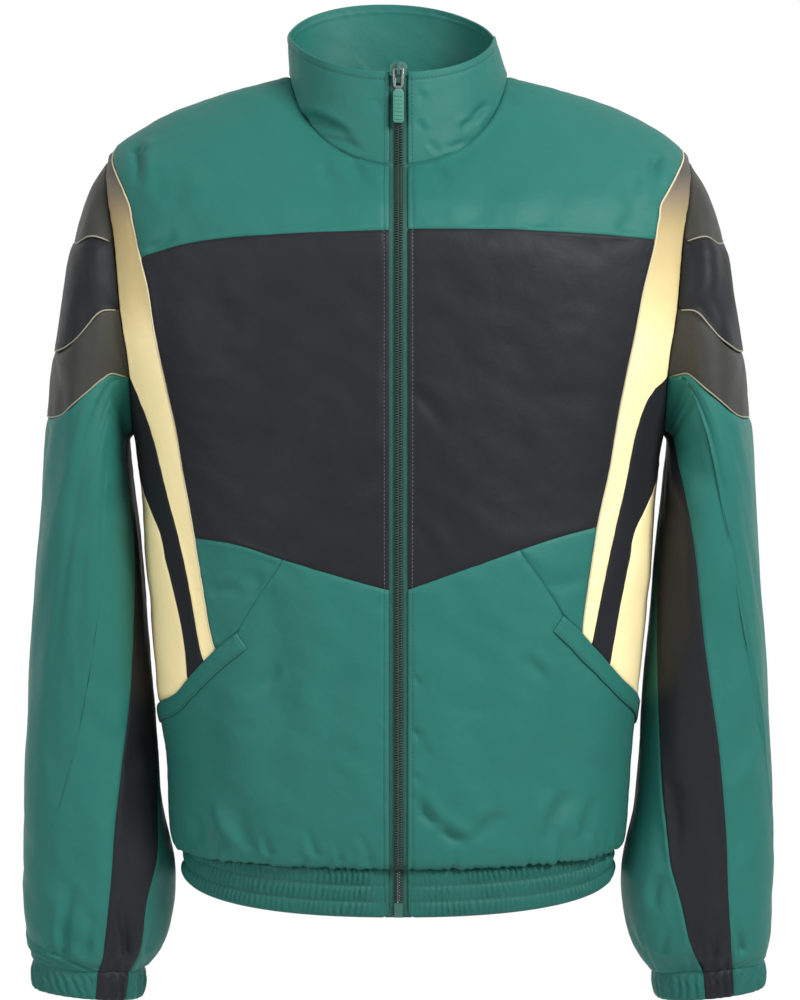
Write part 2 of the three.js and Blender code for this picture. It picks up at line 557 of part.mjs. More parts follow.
// The sleeves.
const sleeveCourse = (seam) => {
  const left = reversed(seam.course).map(([psi, s]) => [-psi, s]);
  return course([...left, ...seam.course.slice(1)], seam.segments, sleevePoint);
};
const armholePlaces = (from, to) => steps(from, to, Math.round(Math.abs(to - from) / 15))
  .map((psi) => [psi, 0]);
const ARMS = [[1, 'L', 'frontLeft', 'backLeft'], [-1, 'R', 'frontRight', 'backRight']];
for (const [side, letter, frontKey, backKey] of ARMS) {
  const onArm = (places) => drape(places, onSleeve, side);
  const upper = [['sleeve_cap', 'taupe'], ['sleeve_dark', 'navy'], ['sleeve_taupe', 'taupe']];
  let top = armholePlaces(-SLEEVE_SEAMS[0].angle, SLEEVE_SEAMS[0].angle);
  upper.forEach(([name, finish], k) => {
    const { angle } = SLEEVE_SEAMS[k];
    const foot = sleeveCourse(SLEEVE_SEAMS[k]);
    const rows = 3;
    const end = (sign) => steps(0, foot[0][1], rows).map((s) => [sign * angle, s]);
    const grid = onArm(patch(top, foot, end(-1), end(1)));
    add(`${name}_${letter}`, wall(grid, SHELL, { gap: SEAM_GAP * 1.5 }), finish);
    const lines = foot.map((_, i) => reversed(grid.map((row) => row[i])));
    const piping = wall(edgeStrip(lines, [PIPING_WIDTH]), STRIP_WALL, { lift: rimLift + ARM_PIPING_LIFT });
    add(`piping_${k + 1}_${letter}`, piping, 'cream');
    const next = SLEEVE_SEAMS[k + 1]?.angle ?? UNDER[0][frontKey];
    top = [...armholePlaces(-next, -angle), ...foot, ...armholePlaces(angle, next)];
  });
  const frontEdgePlaces = UNDER.map((row) => [row[frontKey], row.ring]);
  const backEdgePlaces = UNDER.map((row) => [row[backKey], row.ring]);
  const aroundBack = backEdgePlaces.map(([psi, s]) => [psi - 360, s]);
  const wristPlaces = steps(aroundBack.at(-1)[0], frontEdgePlaces.at(-1)[0], top.length - 1)
    .map((psi) => [psi, WRIST]);
  const sleeve = onArm(patch(top, wristPlaces, aroundBack, frontEdgePlaces));
  add(`sleeve_${letter}`, wall(sleeve, SHELL), 'green');
  const underFoot = steps(frontEdgePlaces.at(-1)[0], backEdgePlaces.at(-1)[0], 2)
    .map((psi) => [psi, WRIST]);
  const underTop = armholePlaces(UNDER[0][frontKey], UNDER[0][backKey]);
  const under = onArm(patch(underTop, underFoot, frontEdgePlaces, backEdgePlaces));
  add(`under_sleeve_${letter}`, wall(under, SHELL), 'navy');
  for (const [name, seam, places, parts, finish] of [['cuff', sleeve.at(-1), wristPlaces, 2, 'green'],
    ['cuff_dark', under.at(-1), underFoot, 3, 'navy']]) {
    const angles = places.map(([psi]) => psi);
    const grid = band(seam, seam.map(() => parts), angles, cuffPoint, cuffOut, side, [0, 0.5, 1]);
    const gather = gathers(grid[0].length - 1, GATHER);
    add(`${name}_${letter}`, wall(grid, BAND_WALL, { gather }), finish);
  }
}

// The zip. Its tapes lie under the front edges and its chain between them, on one course from the hem
// band's lower edge to the collar's upper edge.
const zipCourse = [
  ...[1, 0.5].map((t) => (
    { surface: hemPoint, out: hemOut, at: t, half: mix(BODY[0].half, HEM_END.half, t) })),
  ...[0, 0.5, 1, 1.5, 2, 3, 4, 5, 6.2, 7.4, 8.6, 9.8, 11, 12, 13, NECK]
    .map((v) => ({ surface: bodyPoint, out: bodyOut, at: v, half: bodyRing(v).half })),
  ...[0.5, 1].map((t) => (
    { surface: collarPoint, out: collarOut, at: t, half: mix(BODY[NECK].half, COLLAR_TOP.half, t) })),
];
const ZIP_SQUARE = 2.2;       // near enough for every ring this close to the middle
const CHAIN_HALF = 3.6;
const TAPE_EDGES = [2.6, 10.5];
const TAPE_WALL = 1;
const TAPE_LIFT = -2.8;
const CHAIN_WALL = 2.8;
const CHAIN_LIFT = -0.4;
const BOX_WALL = 3.4;
const BOX_HEIGHT = 12;
const SLIDER_LENGTH = 17;
function zipGrid(xs) {
  return zipCourse.map(({ surface, out, at, half }) => xs.map((x) => {
    const angle = Math.sign(x) * angleAt(Math.abs(x), half, ZIP_SQUARE);
    return { point: surface(angle, at), out: out(angle, at) };
  }));
}
for (const [side, letter] of [[1, 'L'], [-1, 'R']]) {
  const tapeGrid = zipGrid(TAPE_EDGES.map((x) => x * side));
  add(`zip_tape_${letter}`, wall(tapeGrid, TAPE_WALL, { lift: TAPE_LIFT }), 'tape');
}
const chainGrid = zipGrid([-CHAIN_HALF, CHAIN_HALF]);
const neckRow = chainGrid.at(-1);
const belowSlider = chainGrid.at(-3);
const collarLength = neckRow[0].point.distanceTo(belowSlider[0].point);
const shorten = (SLIDER_LENGTH - 6) / collarLength;
chainGrid[chainGrid.length - 1] = neckRow.map((end, i) => ({
  point: end.point.clone().lerp(belowSlider[i].point, shorten), out: end.out }));
const hemRow = chainGrid[0];
const hemLength = hemRow[0].point.distanceTo(chainGrid[1][0].point);
const boxGrid = [hemRow, hemRow.map((end, i) => ({
  point: end.point.clone().lerp(chainGrid[1][i].point, BOX_HEIGHT / hemLength), out: end.out }))];
chainGrid[0] = boxGrid[1];
add('zip_chain', wall(chainGrid, CHAIN_WALL, { lift: CHAIN_LIFT }), 'chain');
add('zip_box', wall(boxGrid, BOX_WALL, { lift: CHAIN_LIFT }), 'metal');

// The slider stands on the collar's top edge, in a frame that follows the collar's slope: its own Z up the
// collar and its own -Y out of it.
const top = collarPoint(0, 1);
const slope = top.clone().sub(collarPoint(0, 0)).normalize();
const sliderFrame = new THREE.Group();
sliderFrame.position.copy(top);
sliderFrame.rotation.x = -Math.atan2(slope.y, slope.z);
jacket.add(sliderFrame);

const wasm = await Module();
wasm.setup();
function solid(geometry) {
  const bare = geometry.clone();
  bare.deleteAttribute('normal');
  bare.deleteAttribute('uv');
  const merged = mergeVertices(bare.index ? bare.toNonIndexed() : bare, 1e-4);
  const vertProperties = merged.attributes.position.array;
  const triVerts = new Uint32Array(merged.index.array);
  return new wasm.Manifold(new wasm.Mesh({ numProp: 3, vertProperties, triVerts }));
}
function fromSolid(body) {
  const { vertProperties, triVerts } = body.getMesh();
  const geometry = new THREE.BufferGeometry();
  geometry.setAttribute('position', new THREE.BufferAttribute(vertProperties, 3));
  geometry.setIndex(new THREE.BufferAttribute(triVerts, 1));
  return geometry;
}
// A flat outline in the slider's X and Z, made as thick as its Y range.
function plate(shape, yFront, yBack, curveSegments = 6) {
  const depth = yBack - yFront;
  const geometry = new THREE.ExtrudeGeometry(shape, { depth, bevelEnabled: false, curveSegments });
  return geometry.rotateX(Math.PI / 2).translate(0, yBack, 0);
}
function outline(points) {
  const corners = points.map(([x, z]) => new THREE.Vector2(x, z));
  return new THREE.Shape(THREE.ShapeUtils.isClockWise(corners) ? corners.reverse() : corners);
}

const SLIDER_TOP = 8;
const SLIDER_FOOT = SLIDER_TOP - SLIDER_LENGTH;
const PLATE_FRONT = -3.6;
const PLATE_BACK = -1.7;
const sliderFace = outline([[-4.6, SLIDER_FOOT], [4.6, SLIDER_FOOT], [5, -4], [6.6, 1], [6.8, 4.5],
  [4.6, 7.4], [1.6, SLIDER_TOP], [-1.6, SLIDER_TOP], [-4.6, 7.4], [-6.8, 4.5], [-6.6, 1], [-5, -4]]);
const coreHalf = 1.9;
const core = outline([[-coreHalf, SLIDER_FOOT + 6], [coreHalf, SLIDER_FOOT + 6], [coreHalf, SLIDER_TOP - 1],
  [-coreHalf, SLIDER_TOP - 1]]);
const HINGE = { y: -5.6, z: 1.2, bar: 0.8, clear: 0.4 };
// The bridge that carries the link: an arch in the slider's Y and Z, cut out round the hinge.
const archOuter = new THREE.Shape();
archOuter.moveTo(-3, HINGE.z - 5.2);
archOuter.lineTo(HINGE.y - 1, HINGE.z - 4.6);
archOuter.quadraticCurveTo(HINGE.y - 2.6, HINGE.z - 3.4, HINGE.y - 2.6, HINGE.z);
archOuter.quadraticCurveTo(HINGE.y - 2.6, HINGE.z + 3.4, HINGE.y - 1, HINGE.z + 4.6);
archOuter.lineTo(-3, HINGE.z + 5.2);
const archHole = new THREE.Path();
const holeHalf = 2.6;
const holeFront = HINGE.y - HINGE.bar - HINGE.clear;
archHole.moveTo(PLATE_FRONT - 0.05, HINGE.z - holeHalf);
archHole.lineTo(PLATE_FRONT - 0.05, HINGE.z + holeHalf);
archHole.lineTo(holeFront, HINGE.z + holeHalf * 0.6);
archHole.lineTo(holeFront, HINGE.z - holeHalf * 0.6);
archOuter.holes.push(archHole);
const BRIDGE_HALF = 1.3;
const bridge = { depth: 2 * BRIDGE_HALF, bevelEnabled: false, curveSegments: 4 };
const arch = new THREE.ExtrudeGeometry(archOuter, bridge);
// Its outline was drawn with Y along the shape's first axis and Z along the second.
arch.applyMatrix4(new THREE.Matrix4().makeBasis(new THREE.Vector3(0, 1, 0), new THREE.Vector3(0, 0, 1),
  new THREE.Vector3(1, 0, 0))).translate(-BRIDGE_HALF, 0, 0);
const slider = solid(plate(sliderFace, PLATE_FRONT, PLATE_BACK))
  .add(solid(plate(core, PLATE_BACK - 0.2, 2)))
  .add(solid(arch));
add('zip_slider', fromSolid(slider), 'metal', sliderFrame);

// The pull: a wire link through the bridge, and a ribbed tab moulded on the link's lower bar.
const LINK = { half: 4.4, length: 15, wire: 1.5 };
const linkShape = outline([[-LINK.half + 1, 1], [LINK.half - 1, 1], [LINK.half, 0],
  [LINK.half - 0.6, -LINK.length + 2], [LINK.half - 2, -LINK.length], [-LINK.half + 2, -LINK.length],
  [-LINK.half + 0.6, -LINK.length + 2], [-LINK.half, 0]]);
const linkInside = [[-LINK.half + 1.6, -0.6], [LINK.half - 1.6, -0.6],
  [LINK.half - 2.1, -LINK.length + 2], [-LINK.half + 2.1, -LINK.length + 2]];
linkShape.holes.push(new THREE.Path(linkInside.map(([x, z]) => new THREE.Vector2(x, z))));
const pull = new THREE.Group();
pull.position.set(0, HINGE.y, HINGE.z);
sliderFrame.add(pull);
add('pull_link', plate(linkShape, -LINK.wire / 2, LINK.wire / 2), 'metal', pull);
const TAB = { half: 4.2, length: 27, thick: 3.2, neck: 2.4, ribs: 7 };
const tabTop = -LINK.length - 0.3;
const tabFoot = tabTop - TAB.length;
const tabShape = outline([[-TAB.neck, tabTop], [-TAB.half, tabTop - 3], [-TAB.half, tabFoot + 1.5],
  [-TAB.half + 1.5, tabFoot], [TAB.half - 1.5, tabFoot], [TAB.half, tabFoot + 1.5],
  [TAB.half, tabTop - 3], [TAB.neck, tabTop]]);
let tab = solid(plate(tabShape, -TAB.thick / 2, TAB.thick / 2));
for (let k = 0; k < TAB.ribs; k += 1) {
  const z = tabTop - 5.5 - k * (TAB.length - 8.5) / (TAB.ribs - 1);
  const rib = plate(outline([[-TAB.half + 1, z - 0.6], [TAB.half - 1, z - 0.6], [TAB.half - 1, z + 0.6],
    [-TAB.half + 1, z + 0.6]]), -TAB.thick / 2 - 0.5, 0);
  tab = tab.add(solid(rib));
}
add('pull_tab', fromSolid(tab), 'tab', pull);

export default jacket;
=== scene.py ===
# %% [markdown]
# # A zip-front track jacket
# The jacket is filled out as if it were worn, with its zip closed and its sleeves hanging. Its cloth is thin
# woven polyester: it keeps the cut of the panels, bags a little over the gathered hem band and cuffs, and
# creases where it is sewn. Each panel could be a box with a cloth modifier, but a panel's form is its cut,
# so here every panel is a surface worked out from its seams, and the creases are pushed into it.
# Lengths in this file are millimetres until a mesh is made, +Z is up and -Y is the front.

# %% Load the frame
import json
import math

import bmesh
import bpy
import numpy as np
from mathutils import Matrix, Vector

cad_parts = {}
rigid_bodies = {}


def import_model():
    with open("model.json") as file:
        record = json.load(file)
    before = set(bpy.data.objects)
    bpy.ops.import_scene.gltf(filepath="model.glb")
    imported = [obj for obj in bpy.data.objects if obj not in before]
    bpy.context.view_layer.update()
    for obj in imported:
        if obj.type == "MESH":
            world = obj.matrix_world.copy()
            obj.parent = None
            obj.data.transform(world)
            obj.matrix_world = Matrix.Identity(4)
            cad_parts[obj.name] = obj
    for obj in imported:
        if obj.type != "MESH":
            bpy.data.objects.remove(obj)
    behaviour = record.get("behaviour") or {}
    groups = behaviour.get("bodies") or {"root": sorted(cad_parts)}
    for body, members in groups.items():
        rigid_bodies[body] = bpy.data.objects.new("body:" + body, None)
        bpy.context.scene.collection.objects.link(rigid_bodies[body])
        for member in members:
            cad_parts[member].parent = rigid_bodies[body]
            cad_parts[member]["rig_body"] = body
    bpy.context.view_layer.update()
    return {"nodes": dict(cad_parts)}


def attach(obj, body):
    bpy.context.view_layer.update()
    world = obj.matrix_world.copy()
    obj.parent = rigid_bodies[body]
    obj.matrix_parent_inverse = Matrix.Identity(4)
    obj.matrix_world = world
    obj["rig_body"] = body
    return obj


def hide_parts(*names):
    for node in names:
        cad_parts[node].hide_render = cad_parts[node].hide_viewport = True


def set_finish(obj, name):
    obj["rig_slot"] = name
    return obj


for startup_object in list(bpy.data.objects):
    bpy.data.objects.remove(startup_object)
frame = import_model()

# %% [markdown]
# ## The rings of the body, sleeves, collar and bands
# A tailor's block is drawn from measures taken at named levels. The same is done here: each table has a
# row for each level, and the surface runs smoothly through the rows.

# %% Tables of measures
# zFront, zSide, zBack, half width, front depth, back depth, squareness
BODY = np.array([
    [-625, -614, -602, 175, 124, 112, 2.3],     # hem seam
    [-622, -622, -610, 184, 131, 120, 2.3],     # lip over the hem band
    [-603, -602, -590, 188, 135, 127, 2.3],     # blouse
    [-556, -548, -542, 191, 139, 133, 2.3],     # hip
    [-483, -480, -478, 198.5, 142, 137, 2.35],  # waist
    [-400, -400, -400, 205, 145, 140, 2.4],     # ribs
    [-335, -335, -335, 210, 147, 141, 2.4],
    [-285, -285, -285, 216, 147, 141, 2.4],     # armpit
    [-235, -235, -235, 230, 146, 140, 2.4],     # chest
    [-180, -180, -180, 244, 143, 138, 2.4],
    [-130, -122, -122, 243, 139, 134, 2.4],
    [-100, -63, -66, 236, 126, 122, 2.3],       # shoulder point
    [-86, -32, -40, 199, 112, 106, 2.2],
    [-75, -12, -15, 152, 99, 88, 2.15],
    [-66, 5, 8, 88, 88, 66, 2.1],               # neckline
])
NECK, SHOULDER = 14.0, 11.0
COLLAR_TOP = np.array([8, 38, 66, 83, 80, 68, 2.1])
COLLAR_LEAN = 6.0
HEM_END = np.array([-664, -648, -640, 177, 124, 112, 2.3])
ARMHOLE_MIDDLE, ARMHOLE_REACH, ARMHOLE_SWING = 9.0, 2.0, 28.8
# outer x, outer z, inner x, inner z, half depth, middle y, squareness
SLEEVE = np.array([
    [252, -90, 220, -289, 82, 0, 2.1],
    [264, -128, 221, -296, 85, 0, 2.1],
    [272, -170, 220.5, -306, 87, 0, 2.2],
    [279, -216, 219, -320, 88, 0, 2.2],
    [286, -275, 217, -341, 88, 1, 2.2],
    [292.3, -340, 213.5, -370, 86, 2, 2.2],
    [298, -405, 209.5, -415, 82, 3, 2.2],
    [302.5, -470, 205, -472, 76, 3, 2.2],
    [306, -530, 199.5, -532, 70, 2, 2.2],
    [308, -590, 194.5, -592, 64, 0, 2.2],
    [308.5, -640, 185, -640, 60, -3, 2.2],
    [307.5, -676, 187.5, -680, 57, -5, 2.2],
    [304.5, -702, 195, -707, 51, -6, 2.2],
    [301, -719, 209.5, -727, 39, -7, 2.2],
])
CUFF_END = np.array([301, -741, 213, -750, 37, -8, 2.2])
WRIST = float(len(SLEEVE))
RIDGE = 0.22
print("body rings:", len(BODY), "sleeve rings:", len(SLEEVE))

# %% [markdown]
# ## Smooth surfaces from the rings
# A lathe or a loft would give one smooth skin, but the seams cross it at places that have to be known. With
# the skin as a function of an angle and a ring number, each seam is a line of such places, and neighbours
# that share a seam meet exactly.


# %% Surfaces
def between(rows, at):
    """Values between numbered rows by Catmull-Rom: each stretch is the cubic that passes through its two
    rows with slopes taken from the rows on either side."""
    rows = np.asarray(rows, float)
    at = np.asarray(at, float)
    last = len(rows) - 1
    i = np.clip(np.floor(at).astype(int), 0, last - 1)
    t = (at - i).reshape(at.shape + (1,) * (rows.ndim - 1))
    p1, p2 = rows[i], rows[i + 1]
    p0 = np.where((i > 0).reshape(t.shape), rows[np.maximum(i - 1, 0)], 2 * p1 - p2)
    p3 = np.where((i < last - 1).reshape(t.shape), rows[np.minimum(i + 2, last)], 2 * p2 - p1)
    return 0.5 * (2 * p1 + (p2 - p0) * t + (2 * p0 - 5 * p1 + 4 * p2 - p3) * t**2
                  + (3 * p1 - p0 - 3 * p2 + p3) * t**3)


def rounded_square(angle, square):
    """Sine and cosine divided by (|sin|^n + |cos|^n)^(1/n), which squares a circle off a little."""
    sine, cosine = np.sin(np.radians(angle)), np.cos(np.radians(angle))
    scale = (np.abs(sine) ** square + np.abs(cosine) ** square) ** (1 / square)
    return sine / scale, cosine / scale


def ring(angle, row):
    """A level ring: x = half width * sine, y = -depth * cosine, and z rises from the side's height to the
    front's or the back's as the cosine grows, rounded off near the side."""
    z_front, z_side, z_back, half, front, back, square = np.moveaxis(row, -1, 0)
    sine, cosine = rounded_square(angle, square)
    ahead = cosine > 0
    rise = (np.sqrt(cosine**2 + RIDGE**2) - RIDGE) / (np.sqrt(1 + RIDGE**2) - RIDGE)
    return np.stack([half * sine, -np.where(ahead, front, back) * cosine,
                     z_side + (np.where(ahead, z_front, z_back) - z_side) * rise], -1)


def body(angle, v):
    """The torso: the ring between the numbered rings, at an angle from the front."""
    angle, v = np.broadcast_arrays(np.asarray(angle, float), np.asarray(v, float))
    return ring(angle, between(BODY, v))


def collar(angle, t):
    """Straight lines from the neckline ring (t = 0) to the collar's top ring (t = 1)."""
    angle, t = np.broadcast_arrays(np.asarray(angle, float), np.asarray(t, float))
    foot = body(angle, NECK)
    top = ring(angle, np.broadcast_to(COLLAR_TOP, angle.shape + (7,)))
    top[..., 0] -= COLLAR_LEAN * (1 - np.cos(np.radians(angle)))
    return foot + (top - foot) * t[..., None]


def hem(angle, t):
    """Straight lines from the hem seam (t = 0) down to the band's lower edge (t = 1)."""
    angle, t = np.broadcast_arrays(np.asarray(angle, float), np.asarray(t, float))
    low = ring(angle, np.broadcast_to(HEM_END, angle.shape + (7,)))
    seam = body(angle, 0.0)
    return seam + (low - seam) * t[..., None]


def armhole(angle):
    """The armhole on the torso: 0 at the shoulder point, 90 at the front, 180 in the armpit."""
    turn = np.radians(np.asarray(angle, float))
    return 90 - ARMHOLE_SWING * np.sin(turn), ARMHOLE_MIDDLE + ARMHOLE_REACH * np.cos(turn)


def arm_ring(angle, row):
    """A sleeve ring through its outer and inner points, as deep as its half depth either way."""
    sine, cosine = rounded_square(angle, row[6])
    inward = (1 - cosine) / 2
    return np.stack([row[0] + (row[2] - row[0]) * inward, row[5] - row[4] * sine,
                     row[1] + (row[3] - row[1]) * inward], -1)


def sleeve(angle, s):
    """The sleeve: Catmull-Rom along the arm through the armhole and the numbered rings."""
    angle, s = np.broadcast_arrays(np.asarray(angle, float), np.asarray(s, float))
    rings = np.stack([body(*armhole(angle))] + [arm_ring(angle, row) for row in SLEEVE])
    i = np.clip(np.floor(s).astype(int), 0, len(SLEEVE) - 1)
    t = (s - i)[..., None]

    def pick(k):
        return np.take_along_axis(rings, np.clip(k, 0, len(SLEEVE))[None, ..., None], 0)[0]

    p1, p2 = pick(i), pick(i + 1)
    p0 = np.where((i > 0)[..., None], pick(i - 1), 2 * p1 - p2)
    p3 = np.where((i < len(SLEEVE) - 1)[..., None], pick(i + 2), 2 * p2 - p1)
    return 0.5 * (2 * p1 + (p2 - p0) * t + (2 * p0 - 5 * p1 + 4 * p2 - p3) * t**2
                  + (3 * p1 - p0 - 3 * p2 + p3) * t**3)


def cuff(angle, t):
    """Straight lines from the sleeve's end (t = 0) to the cuff's edge (t = 1)."""
    angle, t = np.broadcast_arrays(np.asarray(angle, float), np.asarray(t, float))
    seam = sleeve(angle, WRIST)
    return seam + (arm_ring(angle, CUFF_END) - seam) * t[..., None]


def directions(surface, a, b, reach, low, high, sign=1):
    """Unit vectors out of a surface: the cross product of its two slopes."""
    along = surface(a + 0.5, b) - surface(a - 0.5, b)
    up = surface(a, np.minimum(b + reach, high)) - surface(a, np.maximum(b - reach, low))
    out = np.cross(along, up) * sign
    return out / np.maximum(np.linalg.norm(out, axis=-1, keepdims=True), 1e-9)


SURFACES = {
    "body": (body, 0.02, 0.0, NECK, 1), "collar": (collar, 0.05, 0.0, 1.0, 1),
    "hem": (hem, 0.05, 0.0, 1.0, -1), "sleeve": (sleeve, 0.02, 0.0, WRIST, 1),
    "cuff": (cuff, 0.05, 0.0, 1.0, 1),
}


def lay(kind, places, side=1):
    """Points and outward directions of places on a surface, mirrored for the wearer's right side."""
    surface, reach, low, high, sign = SURFACES[kind]
    a, b = places[..., 0], places[..., 1]
    points, out = surface(a, b), directions(surface, a, b, reach, low, high, sign)
    points[..., 0] *= side
    out[..., 0] *= side
    return points, out


hem_steps = np.diff(body(np.arange(0, 361, 2.0), 0.0), axis=0)
print("hem round:", round(float(np.linalg.norm(hem_steps, axis=1).sum())))

# %% [markdown]
# ## Seams as lines of places
# A seam is drawn on the front view as a few x and z readings. Each is moved onto the torso, and a smooth
# line is run through them and measured, so that a share of its length gives a place.

# %% Seams of the fronts
FRONT_EDGE = 7.5
BAND_TOP = 11.25
GUSSET_TOP = np.array([[90, 6.6], [87.5, 6.55]])
POCKET_END = 3.6
# x and z on the wearer's right side, then on the left, where the jacket hangs a little differently
SEAMS = {
    "yoke": [[7.5, -116, 7.5, -115], [77, -118.5, 80, -115.5], [150, -124.5, 143, -119],
             [205, -139, 204, -125]],
    "band_yoke": [[205, -139, 204, -125], [211, -114, 207, -109], [216, -94, 210.5, -94],
                  [226, -74, 224, -72]],
    "band_chest": [[205, -139, 204, -125], [197.3, -172.6, 192.4, -172.4], [185.6, -236, 179.8, -236],
                   [173, -300, 169, -299.5], [162.3, -361.7, 157.8, -352.5]],
    "band_pocket": [[162.3, -361.7, 157.8, -352.5], [151.7, -427, 148.5, -415], [146.2, -450.8, 146.1, -437]],
    "chest_foot": [[7.5, -399.5, 7.5, -399], [38, -391.3, 30, -391.2], [91.5, -376, 96, -368.5]],
    "pocket_head": [[91.5, -376, 96, -368.5], [130, -365, 128, -359], [162.3, -361.7, 157.8, -352.5]],
    "pocket_seam": [[91.5, -376, 96, -368.5], [98, -387, 103, -379.5], [128, -435, 130.5, -421.6]],
    "pocket_lip": [[128, -435, 130.5, -421.6], [146.2, -450.8, 146.1, -437]],
    "band_foot": [[146.2, -450.8, 146.1, -437], [156.2, -461.4, 154.4, -447.5]],
    "panel_foot": [[156.2, -461.4, 154.4, -447.5], [169.7, -477.8, 170, -466]],
    "gusset_foot": [[169.7, -477.8, 170, -466], [183, -493.5, 185, -484]],
    "band_back": [[208, -254, 199.5, -253], [188.5, -317, 182.5, -316.6], [172, -380, 168, -380],
                  [160.2, -444, 158.4, -427.5], [156.2, -461.4, 154.4, -447.5]],
    "gusset_front": [[196, -350.8, 194, -350.5], [187.6, -382, 186, -382], [179.3, -413.6, 179.3, -413.6],
                     [172.8, -445.4, 174.5, -440], [169.7, -477.8, 170, -466]],
}


def angle_at(x, half, square):
    """The angle on a ring where it is x from the middle."""
    share = np.minimum(x / half, 1)
    return np.degrees(np.arctan2(share, (1 - share**square) ** (1 / square)))


def front_edge(v):
    """Places of the front edge, half the zip's width from the middle, for ring numbers v."""
    row = between(BODY, np.asarray(v, float))
    return np.stack([angle_at(FRONT_EDGE, row[..., 3], row[..., 6]), np.asarray(v, float)], -1)


def locate(x, z):
    """The place on the front seen at x and z, by halving the range of ring numbers."""
    low, high = 1.5, NECK
    for _ in range(30):
        v = (low + high) / 2
        row = between(BODY, np.array(v))
        height = ring(angle_at(x, row[3], row[6]), row)[2] if x < row[3] else row[1]
        low, high = (low, v) if height > z else (v, high)
    row = between(BODY, np.array(low))
    return [float(angle_at(x, row[3], row[6])), low]


def line(places, surface=body):
    """A smooth line through places, as a function of the share of its length on the surface."""
    places = np.asarray(places, float)
    fine = between(places, np.linspace(0, len(places) - 1, 40 * (len(places) - 1) + 1))
    lengths = np.r_[0, np.cumsum(np.linalg.norm(np.diff(surface(fine[:, 0], fine[:, 1]), axis=0), axis=1))]

    def at(share):
        want = np.asarray(share, float) * lengths[-1]
        return np.stack([np.interp(want, lengths, fine[:, k]) for k in (0, 1)], -1)

    return at


def joined(*parts):
    """Several lines as one: pairs of a line and the number of even steps that it takes."""
    counts = np.array([count for _, count in parts], float)
    knots = np.r_[0, np.cumsum(counts)] / counts.sum()

    def at(share):
        share = np.asarray(share, float)
        which = np.clip(np.searchsorted(knots, share, side="right") - 1, 0, len(parts) - 1)
        result = np.zeros(share.shape + (2,))
        for k, (part, _) in enumerate(parts):
            inside = which == k
            result[inside] = part((share[inside] - knots[k]) / (knots[k + 1] - knots[k]))
        return result

    at.knots = knots
    return at


def backwards(part):
    return lambda share: part(1 - np.asarray(share, float))


def straight(start, end):
    start, end = np.asarray(start, float), np.asarray(end, float)
    return lambda share: start + (end - start) * np.asarray(share, float)[..., None]


def round_armhole(start, end):
    return lambda share: np.stack(armhole(start + (end - start) * np.asarray(share, float)), -1)


def coons(top, foot, left, right, columns, rows):
    """Places between four edges by Coons' rule: the two blends of opposite edges, less the blend of the
    four corners."""
    u, w = columns[None, :, None], rows[:, None, None]
    t, f, l, r = top(columns)[None], foot(columns)[None], left(rows)[:, None], right(rows)[:, None]
    corners = ((1 - u) * (1 - w) * t[:, :1] + u * (1 - w) * t[:, -1:]
               + (1 - u) * w * f[:, :1] + u * w * f[:, -1:])
    return (1 - w) * t + w * f + (1 - u) * l + u * r - corners


EDGE_LINES = np.array([0.5, 1.2, 2.2, 3.2, 4.0, 4.8, 6.2])


def shares(length, step, knots=(), fine=EDGE_LINES):
    """Shares along a length: even steps, closer lines near both ends, and the named corners."""
    ends = fine[fine < length / 3] / length
    knots = [k for k in knots if 0.001 < k < 0.999]
    inner = np.linspace(0, 1, max(int(round(length / step)), 2) + 1)[1:-1]
    taken = np.array(sorted([0.0, 1.0, *ends, *(1 - ends), *knots]))
    clear = np.abs(inner[:, None] - taken[None]).min(1) > 0.55 * step / length
    keep = clear & (inner > (ends[-1] if len(ends) else 0)) & (inner < 1 - (ends[-1] if len(ends) else 0))
    return np.array(sorted([*taken, *inner[keep]]))


SHOULDER_LINE = line([[90, BAND_TOP], [90, 12.5], [90, NECK]])
NECK_LINE = straight(front_edge(NECK), [90, NECK])
HEM_LINE = straight(front_edge(0.0), [90, 0])
print("shoulder line:", SHOULDER_LINE(np.array([0, 0.5, 1])).round(2).tolist())

# %% [markdown]
# ## Unevenness and creases
# Cloth is never quite even. A cloth solver would find its own creases, in other places each time a number
# is changed. Here the main ones are listed strokes: a trough along a bent line with a lip on one
# side, tapering to nothing. Between them a slow random swell moves the cloth by a millimetre or so.


# %% Swell and creases
def swell(a, b, size, seed):
    """Smooth random height: random values at the corners of squares of the given size, blended inside
    each square by 3t^2 - 2t^3 both ways. It runs from -1 to 1."""
    a, b = np.asarray(a, float) / size, np.asarray(b, float) / size
    i, j = np.floor(a), np.floor(b)
    u, w = a - i, b - j
    u, w = u * u * (3 - 2 * u), w * w * (3 - 2 * w)

    def corner(p, q):
        value = np.sin(p * 127.1 + q * 311.7 + seed * 74.7) * 43758.5453
        return 2 * (value - np.floor(value)) - 1

    return ((1 - u) * (1 - w) * corner(i, j) + u * (1 - w) * corner(i + 1, j)
            + (1 - u) * w * corner(i, j + 1) + u * w * corner(i + 1, j + 1))


